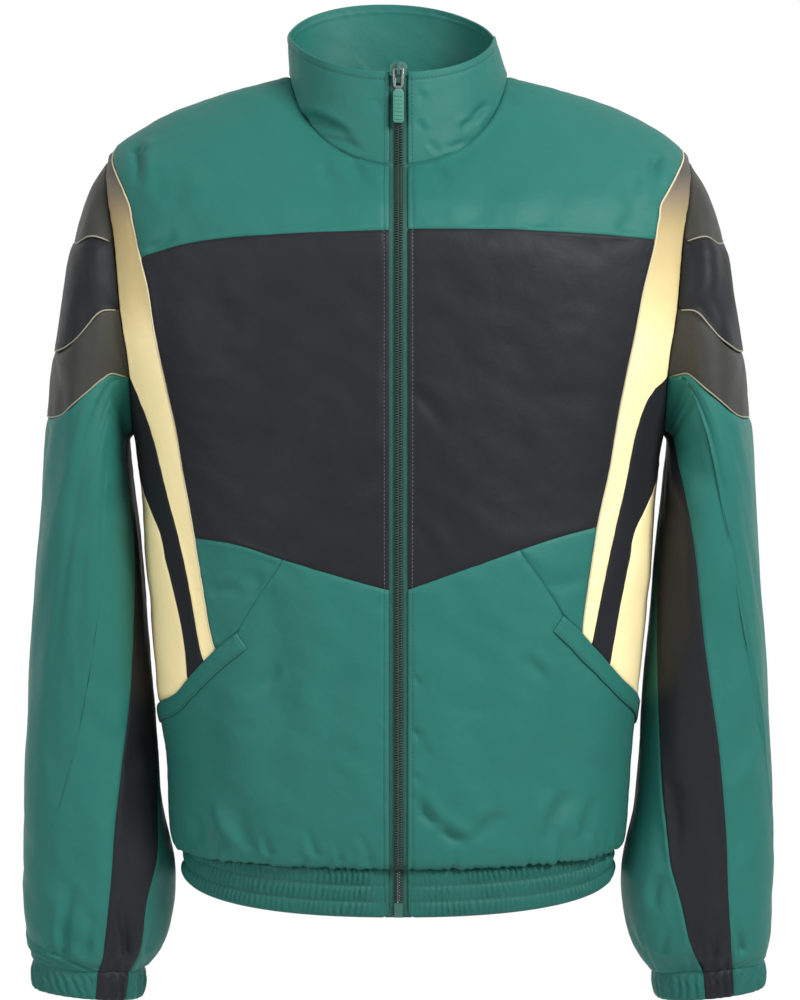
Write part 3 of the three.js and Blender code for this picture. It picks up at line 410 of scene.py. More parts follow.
def creases(a, b, strokes):
    """Height from strokes (a0, b0, a1, b1, width, depth, bend, open end). Across a stroke the height is a
    Gaussian trough with a lower lip beside it. Along it the depth rises and falls as a sine, or stays full
    at the first end where that end is open, as at a gathered seam."""
    height = np.zeros(a.shape)
    for a0, b0, a1, b1, width, depth, bend, open_end in strokes:
        length = math.hypot(a1 - a0, b1 - b0)
        along, across = np.array([a1 - a0, b1 - b0]) / length, np.array([b0 - b1, a1 - a0]) / length
        t = ((a - a0) * along[0] + (b - b0) * along[1]) / length
        clipped = np.clip(t, 0, 1)
        side = (a - a0) * across[0] + (b - b0) * across[1] - 4 * bend * clipped * (1 - clipped)
        beyond = (t - clipped) * length
        taper = np.where(open_end > 0, np.sqrt(1 - clipped), np.sin(np.pi * clipped) ** 0.8)
        fade = taper * np.exp(-(beyond / width) ** 2)
        trough = np.exp(-(side / width) ** 2)
        lip = 0.45 * np.exp(-((side - 1.7 * width) / (1.1 * width)) ** 2)
        height += depth * fade * (lip - trough)
    return height


# Creases seen from the front (x, z), read on each panel; troughs are positive.
FRONT_CREASES = [
    (-155, -580, -138, -614, 5.5, 5, -3, 0), (-168, -585, -160, -612, 6, 3, 2, 0),
    (-120, -606, -126, -578, 6, 2.4, 2, 1), (-66, -612, -72, -592, 3, 2, 1, 1),
    (-24, -618, -32, -596, 3, 2, -2, 1), (-103, -613, -108, -596, 3, 1.8, 1, 1),
    (-47, -615, -49, -604, 2.5, 1.6, 0, 1), (16, -564, 32, -589, 4.5, 3.2, -3, 0),
    (32, -589, 56, -602, 5, 3.2, -2, 0), (62, -604, 84, -580, 6, 2.2, 4, 0),
    (118, -606, 138, -566, 6, 3, 3, 0), (150, -600, 160, -572, 5, 2.6, 2, 1),
    (14, -470, 22, -492, 3, 1.6, 1, 1), (13, -512, 24, -533, 3, 1.8, 1, 1),
    (13, -548, 20, -560, 3, 1.4, 1, 1), (-15, -300, -38, -330, 7, 1.6, 2, 1),
    (14, -245, 38, -275, 6, 1.8, 2, 1), (15, -350, 30, -372, 5, 1.2, 1, 1),
    (-211, -53, -209, -82, 4.5, 4.2, 2, 1), (-192, -68, -191, -96, 7, 1.5, 1, 0),
    (-178, -66, -178, -104, 9, 1.4, 2, 0), (-194, -132, -178, -116, 5, 2.6, -2, 1),
    (206, -63, 209, -86, 5, 3.6, -2, 1), (190, -70, 184, -100, 8, 2.2, -2, 0),
    (178, -122, 196, -96, 7, 1.8, 2, 1), (112, -112, 134, -84, 11, 1.8, 3, 1),
    (60, -112, 80, -84, 10, 1.3, 2, 1), (-100, -118, -118, -92, 10, 1.4, 2, 1),
    (-36, -62, -20, -84, 4.5, 2.2, -2, 1), (-58, -70, -44, -92, 5, 1.4, 0, 1),
    (26, -66, 40, -88, 4.5, 1.6, 2, 1), (-150, -150, -140, -230, 16, 1.6, 4, 0),
    (96, -170, 88, -330, 18, 1.6, 6, 0), (140, -200, 128, -330, 16, 1.5, -4, 0),
    (-84, -190, -92, -350, 20, 1.5, -6, 0), (-104, -400, -100, -580, 17, 2.6, 6, 0),
    (-52, -430, -56, -590, 19, 1.8, -5, 0), (70, -420, 64, -560, 20, 2.2, -6, 0),
    (122, -470, 128, -590, 17, 2.2, 5, 0), (-150, -480, -150, -570, 14, 1.8, -3, 0),
    (-143, -402, -125, -404, 5, 1.2, 2, 1), (-120, -385, -100, -408, 7, 1.0, 0, 0),
    (140, -395, 118, -402, 6, 1.0, -2, 1), (98, -455, 118, -478, 5, 2.0, 3, 0),
    (-96, -458, -112, -480, 5, 1.6, 3, 0), (-160, -300, -172, -300, 3, 0.9, 0, 0),
    (-152, -385, -166, -387, 2.5, 1.0, 0, 0), (-150, -400, -164, -402, 2.5, 1.1, 0, 0),
    (-148, -414, -162, -417, 2.5, 1.0, 0, 0), (172, -340, 158, -343, 3, 0.9, 0, 0),
    (165, -372, 151, -376, 2.5, 1.0, 0, 0), (162, -392, 149, -396, 2.5, 1.0, 0, 0),
    (157, -412, 146, -416, 2.5, 0.9, 0, 0),
]
# Creases of the back seen from the front's side (x, z).
BACK_CREASES = [
    (-196, -92, -150, -140, 9, 3, 5, 1), (-205, -150, -160, -190, 9, 2.4, 5, 1),
    (-202, -230, -150, -262, 10, 2.6, 5, 1), (196, -92, 156, -134, 9, 2.8, -5, 1),
    (204, -160, 158, -206, 10, 2.4, -5, 1), (200, -232, 146, -270, 10, 2.4, -5, 1),
    (-70, -40, -58, -120, 14, 2, 3, 0), (52, -40, 60, -130, 15, 2, -3, 0), (0, -30, -6, -80, 10, 1.2, 0, 0),
    (-120, -300, -108, -500, 20, 2.4, 6, 0), (-40, -330, -48, -560, 22, 2.2, -5, 0),
    (44, -280, 36, -470, 20, 2, 5, 0), (116, -320, 126, -560, 20, 2.4, -6, 0),
    (160, -430, 150, -570, 14, 2, 3, 0), (-164, -420, -158, -560, 14, 2, -3, 0),
    (-140, -600, -122, -560, 6, 4, 3, 1), (-96, -600, -104, -574, 5, 2.6, 0, 1),
    (-58, -600, -44, -566, 6, 3.2, 3, 1), (-12, -600, -18, -580, 4, 2, 0, 1),
    (26, -600, 40, -562, 6, 3.4, 3, 1), (74, -600, 68, -578, 5, 2.2, 0, 1),
    (112, -600, 96, -560, 6, 3.6, -3, 1), (148, -602, 156, -572, 5, 2.6, 2, 1),
]


def gather_strokes(length, pitch, longest, depth, seed):
    """Creases that rise from a gathered seam, as strokes in lengths along and up from the seam: uneven in
    place, slant, length and depth, most of them short."""
    rng = np.random.default_rng(seed)
    count = int(length / pitch)
    at = (np.arange(count) + 0.5 + rng.uniform(-0.35, 0.35, count)) * pitch
    reach = longest * (0.2 + 0.8 * rng.uniform(0, 1, count) ** 2.5)
    slant = rng.uniform(-0.3, 0.3, count) * reach
    size = rng.uniform(0.5, 1.1, count) * (0.55 + 0.45 * reach / longest)
    width = pitch * rng.uniform(0.2, 0.32, count) * (0.8 + 0.5 * reach / longest)
    return [(a, 0, a + s, r, w, depth * d, 0.12 * s, 1)
            for a, s, r, w, d in zip(at, slant, reach, width, size)]


def gather_creases(distance, strokes):
    """The height of creases that rise from the foot, starting from nothing at the seam that holds them."""
    return creases(distance["left"], distance["foot"], strokes) * (1 - np.exp(-(distance["foot"] / 2.5) ** 2))


def edge_distance(points):
    """Distance of each grid point from the nearest of the four edges, measured along the grid's lines."""
    across = np.linalg.norm(np.diff(points, axis=1), axis=2)
    down = np.linalg.norm(np.diff(points, axis=0), axis=2)
    left = np.pad(np.cumsum(across, 1), ((0, 0), (1, 0)))
    top = np.pad(np.cumsum(down, 0), ((1, 0), (0, 0)))
    return {"left": left, "right": left[:, -1:] - left, "top": top, "foot": top[-1:] - top}


def seam_form(distance, edges=("left", "right", "top", "foot"), pucker=0.35, seed=1):
    """Near a sewn edge the cloth turns down into the seam, and the thread draws small puckers across it."""
    height = np.zeros(distance["left"].shape)
    for k, edge in enumerate(edges):
        d = distance[edge]
        run = distance["top" if edge in ("left", "right") else "left"]
        waves = swell(run + 50 * k, 0 * run, 7.0, seed + k) + 0.5 * swell(run, 0 * run, 3.4, seed + 9 + k)
        height += -0.85 * np.exp(-(d / 1.4) ** 2) + pucker * waves * np.exp(-((d - 4) / 5.0) ** 2)
    return height


print("front creases:", len(FRONT_CREASES), "back creases:", len(BACK_CREASES))

# %% [markdown]
# ## From a surface to a piece of cloth
# Solidify would give a sheet its thickness. The wall is made here instead, from the same grid of points
# moved in and out along their own directions, so the inside follows the outside and the rim is closed.

# %% Walls of cloth
CLOTH = 0.9
PIECES = {}
CUTS = {}


def grid_mesh(name, outer, inner, uv, facing):
    """A closed wall: the outer grid, the inner grid turned round, and a strip round the rim."""
    rows, cols = outer.shape[:2]
    count = rows * cols
    index = np.arange(count).reshape(rows, cols)
    quads = np.stack([index[:-1, :-1], index[1:, :-1], index[1:, 1:], index[:-1, 1:]], -1).reshape(-1, 4)
    middle = outer[rows // 2, cols // 2]
    normal = np.cross(outer[rows // 2 + 1, cols // 2] - middle, outer[rows // 2, cols // 2 + 1] - middle)
    if normal @ facing[rows // 2, cols // 2] < 0:
        quads = quads[:, ::-1]
        rim = np.r_[index[0, :-1], index[:-1, -1], index[-1, :0:-1], index[:0:-1, 0]]
    else:
        rim = np.r_[index[:-1, 0], index[-1, :-1], index[:0:-1, -1], index[0, :0:-1]]
    following = np.roll(rim, -1)
    walls = np.stack([rim + count, following + count, following, rim], -1)
    faces = np.concatenate([quads, quads[:, ::-1] + count, walls])
    vertices = np.concatenate([outer.reshape(-1, 3), inner.reshape(-1, 3)]) / 1000
    mesh = bpy.data.meshes.new(name)
    mesh.from_pydata(vertices, [], faces)
    flat = np.concatenate([uv.reshape(-1, 2)] * 2) / 1000
    layer = mesh.uv_layers.new(name="UVMap")
    layer.data.foreach_set("uv", flat[faces.ravel()].astype(np.float32).ravel())
    mesh.shade_smooth()
    piece = bpy.data.objects.new(f"{name}_cloth", mesh)
    bpy.context.scene.collection.objects.link(piece)
    return piece


def along_grid(points):
    """Cloth coordinates in millimetres: lengths along the rows and columns from the grid's middle."""
    distance = edge_distance(points)
    middle = points.shape[1] // 2
    u = distance["left"] - distance["left"][:, middle:middle + 1]
    return np.stack([u, -distance["top"]], -1)


def cloth(name, points, out, height, finish, wall=CLOTH, held="hung", rests_on=(), gathered=1.0):
    """A piece of cloth: the grid moved out by its height, given a wall, and its cut kept in a table."""
    face = points + out * (height + wall / 2)[..., None]
    back = points + out * (height - wall / 2)[..., None]
    piece = grid_mesh(name, face, back, along_grid(points), out)
    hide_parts(name)
    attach(piece, "jacket")
    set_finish(piece, finish)
    PIECES[name] = {"object": piece, "face": face, "out": out, "finish": finish}
    distance = edge_distance(points)
    width, length = distance["left"][:, -1].max() / 1000, distance["top"][-1].max() / 1000
    across, down = points[:, 1:] - points[:, :-1], points[1:] - points[:-1]
    upper = np.linalg.norm(np.cross(down[:, :-1], across[:-1]), axis=2)
    lower = np.linalg.norm(np.cross(across[1:], down[:, 1:]), axis=2)
    area = float((upper + lower).sum()) / 2e6 * gathered
    CUTS[name] = {"flat": (max(width * gathered, 0.0101), max(length, 0.0101)), "area": area, "held": held,
                  "rests_on": [f"{below}_cloth" for below in rests_on]}
    return piece


# %% [markdown]
# ## The fronts
# Each front is sewn from a yoke, a dark chest panel, a green pocket piece, a broad yellow side band, a dark
# side panel with a yellow gusset, and a long lower front. Their seams are the lines drawn above.

# %% Fronts
STEP = 3.2
STITCH_IN = 4.0
CREASE_DEPTH = 1.4


def front_piece(name, side, top, foot, left, right, size, finish, rests_on, step=STEP, pucker=0.3,
                seed=1, gathers=(), stitched=False):
    """A front panel between four seams, creased and puckered."""
    knots = [list(getattr(edge, "knots", [])) for edge in (top, foot, left, right)]
    columns = shares(size[0], step, knots[0] + knots[1])
    rows = shares(size[1], step, knots[2] + knots[3])
    points, out = lay("body", coons(top, foot, left, right, columns, rows), side)
    distance = edge_distance(points)
    x, z = points[..., 0], points[..., 2]
    near = np.minimum.reduce([distance[k] for k in distance])
    ease = 1 - np.exp(-(near / 5.0) ** 2)
    height = CREASE_DEPTH * creases(x, z, FRONT_CREASES) * (0.25 + 0.75 * ease)
    height += ease * (1.3 * swell(x, z, 55, 3) + 0.75 * swell(x + 0.4 * z, z, 19, 5)
                      + 0.15 * swell(x, z, 7, 8))
    height += seam_form(distance, pucker=pucker, seed=seed)
    if stitched:
        height -= 0.8 * np.exp(-((distance["left"] - STITCH_IN) / 0.9) ** 2)
    if gathers:
        height += gather_creases(distance, gathers)
    cloth(name, points, out, height, finish, rests_on=rests_on)
    PIECES[name]["columns"] = columns


for side, letter, xk, zk in ((1, "L", 2, 3), (-1, "R", 0, 1)):
    def seam(name, before=(), after=()):
        read = [locate(row[xk], row[zk]) for row in SEAMS[name]]
        return line([*before, *read, *after])

    yoke_seam, chest_foot, pocket_head = seam("yoke"), seam("chest_foot"), seam("pocket_head")
    band_yoke, band_chest = seam("band_yoke", after=[[90, BAND_TOP]]), seam("band_chest")
    band_pocket, pocket_seam, pocket_lip = seam("band_pocket"), seam("pocket_seam"), seam("pocket_lip")
    band_foot, panel_foot = seam("band_foot"), seam("panel_foot")
    gusset_foot = seam("gusset_foot", after=[[90, POCKET_END]])
    armpit_end = list(np.stack(armhole(120.0), -1))
    band_back = seam("band_back", before=[armpit_end])
    gusset_front = seam("gusset_front", before=[GUSSET_TOP[1].tolist()])
    gusset_side = line([GUSSET_TOP[0], [90, 5], [90, POCKET_END]])
    yoke_v, foot_v = float(yoke_seam(np.array(0.0))[1]), float(chest_foot(np.array(0.0))[1])

    def edge_down(start, end):
        return lambda share: front_edge(start + (end - start) * np.asarray(share, float))

    front_piece(f"yoke_front_{letter}", side, NECK_LINE, yoke_seam, edge_down(NECK, yoke_v),
                joined((backwards(SHOULDER_LINE), 4), (backwards(band_yoke), 4)), (190, 150), "green",
                ["collar", "back"], seed=10, stitched=True)
    front_piece(f"chest_{letter}", side, yoke_seam, joined((chest_foot, 4), (pocket_head, 2)),
                edge_down(yoke_v, foot_v), band_chest, (200, 270), "navy", [f"yoke_front_{letter}"],
                3.6, 0.25, 20, stitched=True)
    front_piece(f"pocket_top_{letter}", side, pocket_head, pocket_lip, pocket_seam, band_pocket, (70, 80),
                "green", [f"chest_{letter}"], 2.6, 0.3, 30)
    front_piece(f"side_band_{letter}", side,
                joined((straight([90, BAND_TOP], [90, (BAND_TOP + SHOULDER) / 2]), 1),
                       (straight([90, (BAND_TOP + SHOULDER) / 2], [90, SHOULDER]), 1)), band_foot,
                joined((backwards(band_yoke), 4), (band_chest, 7), (band_pocket, 4)),
                joined((round_armhole(0, 120), 8), (band_back, 7)), (26, 420), "yellow",
                ["back", f"chest_{letter}"], 2.8, 0.35, 40)
    front_piece(f"side_panel_{letter}", side, round_armhole(120, 180), panel_foot, band_back,
                joined((straight(np.stack(armhole(180.0), -1), GUSSET_TOP[0]), 1), (straight(*GUSSET_TOP), 1),
                       (gusset_front, 5)), (50, 230), "navy", [f"side_band_{letter}"], 3.2, 0.25, 50)
    front_piece(f"side_gusset_{letter}", side, straight(GUSSET_TOP[1], GUSSET_TOP[0]), gusset_foot,
                gusset_front, gusset_side, (40, 180), "yellow", [f"side_panel_{letter}", "back"], 3.2, 0.25, 60)
    lower_top = joined((chest_foot, 4), (pocket_seam, 4), (pocket_lip, 2), (band_foot, 2), (panel_foot, 4),
                       (gusset_foot, 2))
    front_piece(f"lower_front_{letter}", side, lower_top, HEM_LINE,
                line(front_edge(np.linspace(foot_v, 0, 25))),
                line([[90, v] for v in np.linspace(POCKET_END, 0, 20)]),
                (235, 235), "green", [f"chest_{letter}", "back"], 2.5, 0.35, 70,
                gather_strokes(245, 8, 34, 3.2, 21 + side), stitched=True)
print("front pieces:", len(PIECES))

# %% [markdown]
# ## The back
# One piece runs from side seam to side seam, round the armholes and up to the shoulders.


# %% Back
def back_left(share):
    """The back's left edge: down the shoulder seam, round the armhole and down the side seam."""
    lower = between(np.array([[90, v] for v in (7, 6, 5, 4, 3, 2, 1.4, 1, 0.5, 0)], float),
                    np.clip((np.asarray(share, float) * 26 - 17), 0, 9))
    upper = backwards(SHOULDER_LINE)(np.clip(share * 26 / 4, 0, 1))
    hole = np.stack(armhole(360 - np.clip((share * 26 - 5) * 15, 0, 180)), -1)
    linking = straight([90, BAND_TOP], [90, SHOULDER])(np.clip(share * 26 - 4, 0, 1))
    at = np.asarray(share, float)[..., None] * 26
    return np.where(at < 4, upper, np.where(at < 5, linking, np.where(at < 17, hole, lower)))


rows = np.unique(np.r_[np.linspace(0, 4, 22), np.linspace(4, 5, 4), np.linspace(5, 17, 60),
                       np.linspace(17, 26, 110), 0.15, 25.75, 25.88]) / 26
columns = shares(480, 3.6)
edge = back_left(rows)
turn = edge[:, None, 0] + (360 - 2 * edge[:, None, 0]) * columns[None]
points, out = lay("body", np.stack([turn, np.broadcast_to(edge[:, None, 1], turn.shape)], -1))
distance = edge_distance(points)
near = np.minimum.reduce([distance[k] for k in distance])
ease = 1 - np.exp(-(near / 6.0) ** 2)
x, z = points[..., 0], points[..., 2]
height = CREASE_DEPTH * creases(x, z, BACK_CREASES) * (0.25 + 0.75 * ease)
height += ease * (1.4 * swell(x, z, 60, 13) + 0.4 * swell(x + 0.4 * z, z, 21, 15) + 0.1 * swell(x, z, 6, 18))
height += seam_form(distance, pucker=0.3, seed=80)
height += gather_creases(distance, gather_strokes(485, 8, 36, 3.2, 31))
cloth("back", points, out, height, "green", rests_on=["collar"])
print("back grid:", points.shape[:2])

# %% [markdown]
# ## The collar
# The collar is one strip folded double and stitched below its fold, so it is thicker than the body and its
# top edge is round. It stands up by itself and creases only where it is pulled down into the neck seam.

# %% Collar
COLLAR_WALL = 1.9
COLLAR_CREASES = [
    (-86, -26, -34, -47, 4.2, 3.4, 4, 0), (-60, -44, -28, -55, 3.5, 1.8, 2, 0),
    (72, -17, 58, -34, 3.2, 3.0, -2, 0), (50, -38, 58, -30, 2.6, 2.2, 1, 0),
    (30, -54, 24, -47, 2.4, 1.8, 0, 1), (14, -30, 20, -40, 2.6, 1.3, 1, 0),
    (60, -44, 34, -52, 3, 1.4, 2, 0), (-20, -12, -14, -24, 4, 1.0, 1, 0), (14, -8, 22, -14, 3, 0.9, 0, 0),
]


def rounded_wall(distance, wall):
    """A wall whose edge is round: half a circle's height over the last half thickness."""
    radius = wall / 2
    return wall * np.sqrt(np.clip(1 - (1 - np.minimum(distance / radius, 1)) ** 2, 0.02, 1))


def tucked(*grids, at_foot=False):
    """Points, directions, heights and walls of a band with one more row beyond its sewn edge, 3 mm on and
    1 mm further in, which lies inside the cloth that the band is sewn to."""
    parts = [np.concatenate([grid, grid[-1:]] if at_foot else [grid[:1], grid]) for grid in grids]
    parts[0][-1 if at_foot else 0, :, 2] += -3.0 if at_foot else 3.0
    parts[2][-1 if at_foot else 0] -= 1.0
    return parts


first = float(front_edge(NECK)[0])
columns = shares(525, 2.4)
rows = 1 - shares(72, 2.2, fine=np.array([0.15, 0.45, 0.95, 1.6, 2.6, 4.0, 5.4, 6.5, 7.6, 9.0]))
turn = first + (360 - 2 * first) * columns
points, out = lay("collar", np.stack(np.broadcast_arrays(turn[None], rows[:, None]), -1))
distance = edge_distance(points)
x, z, at_front = points[..., 0], points[..., 2], points[..., 1] < 0
height = np.where(at_front, creases(x, z, COLLAR_CREASES), 0.0)
height += 0.7 * swell(distance["left"], z, 48, 23) + 0.25 * swell(distance["left"], z, 15, 24)
height += seam_form(distance, ("foot",), pucker=0.4, seed=90)
ripple = swell(distance["left"], 0 * z, 5.5, 27)
height += -0.5 * np.exp(-((distance["top"] - 6.5) / 0.9) ** 2)
height += 0.3 * ripple * np.exp(-((distance["top"] - 5.0) / 3.5) ** 2)
wall = np.minimum(rounded_wall(distance["top"], COLLAR_WALL),
                  rounded_wall(np.minimum(distance["left"], distance["right"]), COLLAR_WALL))
points, out, height, wall = tucked(points, out, height, wall, at_foot=True)
cloth("collar", points, out, height, "green", wall=wall, rests_on=["back"])
print("collar grid:", points.shape[:2])

# %% [markdown]
# ## The gathered hem band
# The band is a casing sewn onto stretched elastic in three channels. When the elastic lets go it draws the
# cloth into fine upright gathers, which puff out between the two rows of stitches and are pinched by them.

# %% Hem band
CHANNELS = 3
GATHER_PITCH = 4.7
BAND_CORNER = 6.0


def gathered(run, share, channels, pitch, plain, seed):
    """Height of gathers: an uneven sine along the band, raised to a soft ridge, times a puff that falls
    to nothing at each row of stitches. Each channel has its own shift, and the ends are plain."""
    channel = np.minimum(np.floor(share * channels), channels - 1)
    puff = np.abs(np.sin(np.pi * share * channels)) ** 0.6
    shift = 3.4 * swell(run, channel * 40 + 7, 23, seed) + 1.5 * swell(run, share * 60, 8, seed + 1)
    ridge = (0.5 + 0.5 * np.sin(2 * np.pi * run / pitch + shift)) ** 0.65
    size = 0.7 + 0.45 * swell(run, channel * 31, 13, seed + 2)
    return puff * (0.5 + 2.6 * plain * size * ridge)


first = float(front_edge(0.0)[0])
columns = np.linspace(0, 1, 1160)
rows = np.linspace(0, 1, 25)
turn = first + (360 - 2 * first) * columns
points, out = lay("hem", np.stack(np.broadcast_arrays(turn[None], rows[:, None]), -1))
distance = edge_distance(points)
share = distance["top"] / distance["top"][-1:]
ends = np.minimum(distance["left"], distance["right"])
plain = 1 / (1 + np.exp(-(ends - 12) / 2.5))
height = gathered(distance["left"], share, CHANNELS, GATHER_PITCH, plain, 41) - 0.9
height += -0.35 * np.exp(-(ends - 4.2) ** 2 / 0.8)
wall = np.minimum(rounded_wall(distance["foot"], 1.3), rounded_wall(ends, 1.3))
inside_corner = np.clip(BAND_CORNER - ends, 0, BAND_CORNER)
points[..., 2] += share * (BAND_CORNER - np.sqrt(BAND_CORNER**2 - inside_corner**2))
points, out, height, wall = tucked(points, out, height, wall)
cloth("hem_band", points, out, height, "green", wall=wall, held="gathered", rests_on=["back"], gathered=1.25)
print("hem band grid:", points.shape[:2])

# %% [markdown]
# ## The sleeves
# A sleeve starts with a taupe cap, a dark chevron band and a taupe band, parted by cream piping. The long
# green sleeve and the dark strip under the arm follow. It hangs nearly smooth, and bags over the cuff.

# %% Sleeves
# angle where the seam meets the armhole, steps, ring number on top of the arm, and the course's two powers
SLEEVE_SEAMS = [(60, 8, 2.0, 2.9, 0.95), (90, 14, 4.0, 3.0, 0.75), (120, 20, 4.9, 3.1, 0.8)]
SEAM_FOOT = 0.18
UPPER_ARM = [("cap", "taupe", (130, 85)), ("dark", "navy", (230, 95)), ("taupe", "taupe", (330, 60))]
# ring number, then the angles of the strip's front and back edges on the right sleeve and on the left
UNDER = np.array([
    [0, 165, 195, 165, 195], [1.5, 165, 195, 158, 192], [3.6, 164, 195, 143, 186], [5.2, 162, 195, 125, 178],
    [6.4, 157, 194, 111, 168], [7.4, 146, 191, 102, 158], [8.2, 136, 184, 93, 148], [9, 125, 174, 84, 138],
    [9.8, 115, 164, 78, 130], [10.7, 105, 145, 72, 117], [11.5, 101, 132, 70, 107], [12.6, 100, 132, 68, 102],
    [13.4, 101, 135, 67.5, 99], [14, 102, 137, 67.5, 98],
])
# Creases from the front (x, z), then from behind; the first end is at the cuff where the stroke is open.
SLEEVE_FRONT = [
    (-272, -706, -264, -650, 4.2, 4.2, 3, 1), (-280, -706, -283, -686, 3, 2.6, 1, 1),
    (-256, -706, -250, -672, 4, 2.4, -2, 1), (-240, -706, -238, -680, 3.4, 2, 1, 1),
    (-221, -706, -228, -664, 4, 3.4, -2, 1), (-205, -706, -200, -684, 3.4, 2.2, 1, 1),
    (-262, -560, -268, -660, 15, 2, 4, 0), (-236, -470, -232, -560, 14, 1.8, -4, 0),
    (-270, -300, -258, -370, 13, 1.6, 4, 0), (-214, -300, -240, -352, 8, 2.2, 4, 1),
    (-206, -520, -226, -560, 9, 2, 3, 0), (-262, -150, -246, -190, 10, 1.4, 3, 0),
    (197, -708, 185, -664, 4, 4, 3, 1), (280, -704, 268, -672, 3.6, 3.6, -2, 1),
    (209, -672, 213, -640, 4, 2.6, 2, 0), (216, -706, 219, -684, 3, 2.2, 0, 1),
    (240, -706, 243, -676, 4, 2.6, 2, 1), (258, -706, 254, -684, 3.4, 2, -1, 1),
    (236, -272, 248, -328, 9, 2.2, -4, 0), (262, -420, 256, -520, 15, 1.8, 5, 0),
    (222, -560, 214, -640, 10, 2.4, 4, 0), (212, -320, 232, -350, 7, 2, -3, 1),
    (284, -560, 278, -650, 12, 1.6, -3, 0), (264, -160, 244, -196, 10, 1.4, -3, 0),
]
SLEEVE_BACK = [
    (-270, -706, -262, -654, 4.2, 3.8, 3, 1), (-250, -706, -254, -676, 4, 2.8, -2, 1),
    (-228, -706, -220, -660, 4.2, 3.4, 3, 1), (-210, -706, -214, -682, 3.4, 2.2, 1, 1),
    (-290, -704, -286, -680, 3.4, 2.4, 1, 1), (-258, -330, -226, -372, 10, 2.6, 5, 0),
    (-280, -390, -236, -420, 10, 2.4, 5, 0), (-262, -520, -254, -620, 15, 2, 4, 0),
    (-230, -200, -214, -250, 9, 2.4, 3, 1), (270, -706, 260, -650, 4.2, 4, -3, 1),
    (248, -706, 252, -678, 4, 2.6, 2, 1), (226, -706, 220, -664, 4, 3.2, -3, 1),
    (208, -706, 212, -686, 3.4, 2.2, -1, 1), (290, -704, 285, -682, 3.4, 2.4, -1, 1),
    (254, -320, 224, -366, 10, 2.6, -5, 0), (282, -400, 238, -428, 10, 2.4, -5, 0),
    (258, -530, 250, -630, 15, 2, -4, 0), (230, -205, 214, -252, 9, 2.4, -3, 1),
]


def foot_line(angle, reach, power, softness):
    """A chevron seam from its back end over the top of the arm to its front end. Its ring number falls from
    the reach to almost 0 as (1 - (turn / angle)^power)^softness."""
    turn = angle * np.sin(np.linspace(-np.pi / 2, np.pi / 2, 41))
    fall = np.clip(1 - np.abs(turn / angle) ** power, 0, 1) ** softness
    return line(np.stack([turn, SEAM_FOOT + (reach - SEAM_FOOT) * fall], -1), sleeve)


def under_edge(column):
    """An edge of the dark strip as places on the sleeve, smooth through the table's rows."""
    def at(share):
        row = between(UNDER, np.asarray(share, float) * (len(UNDER) - 1))
        return np.stack([row[..., column], row[..., 0]], -1)
    return at


def turned_back(edge):
    return lambda share: edge(share) - np.array([360.0, 0.0])


def arm_piece(name, side, top, foot, left, right, size, finish, rests_on, step, seed, gathers=()):
    """A sleeve panel between four seams."""
    knots = [list(getattr(edge, "knots", [])) for edge in (top, foot, left, right)]
    columns, rows = shares(size[0], step, knots[0] + knots[1]), shares(size[1], step, knots[2] + knots[3])
    points, out = lay("sleeve", coons(top, foot, left, right, columns, rows), side)
    distance = edge_distance(points)
    x, z = points[..., 0], points[..., 2]
    near = np.minimum.reduce([distance[k] for k in ("left", "right", "top")])
    ease = 1 - np.exp(-(near / 6.0) ** 2)
    ahead = np.clip(-out[..., 1] * 2.5, 0, 1)
    behind = np.clip(out[..., 1] * 2.5, 0, 1)
    height = ahead * creases(x, z, SLEEVE_FRONT) + behind * creases(x, z, SLEEVE_BACK)
    height *= CREASE_DEPTH * (0.3 + 0.7 * ease) * (1 - 0.8 * np.exp(-(distance["foot"] / 2.5) ** 2))
    run = distance["left"]
    height += ease * (1.4 * swell(run, 0.6 * z, 58, seed) + 0.5 * swell(run + 0.3 * z, 0.5 * z, 20, seed + 2)
                      + 1.3 * swell(run, 0.14 * z, 19, seed + 6) + 0.1 * swell(run, z, 6, seed + 4))
    height += seam_form(distance, pucker=0.25, seed=seed)
    if gathers:
        height += gather_creases(distance, gathers)
    cloth(name, points, out, height, finish, rests_on=rests_on)
    PIECES[name]["columns"] = columns


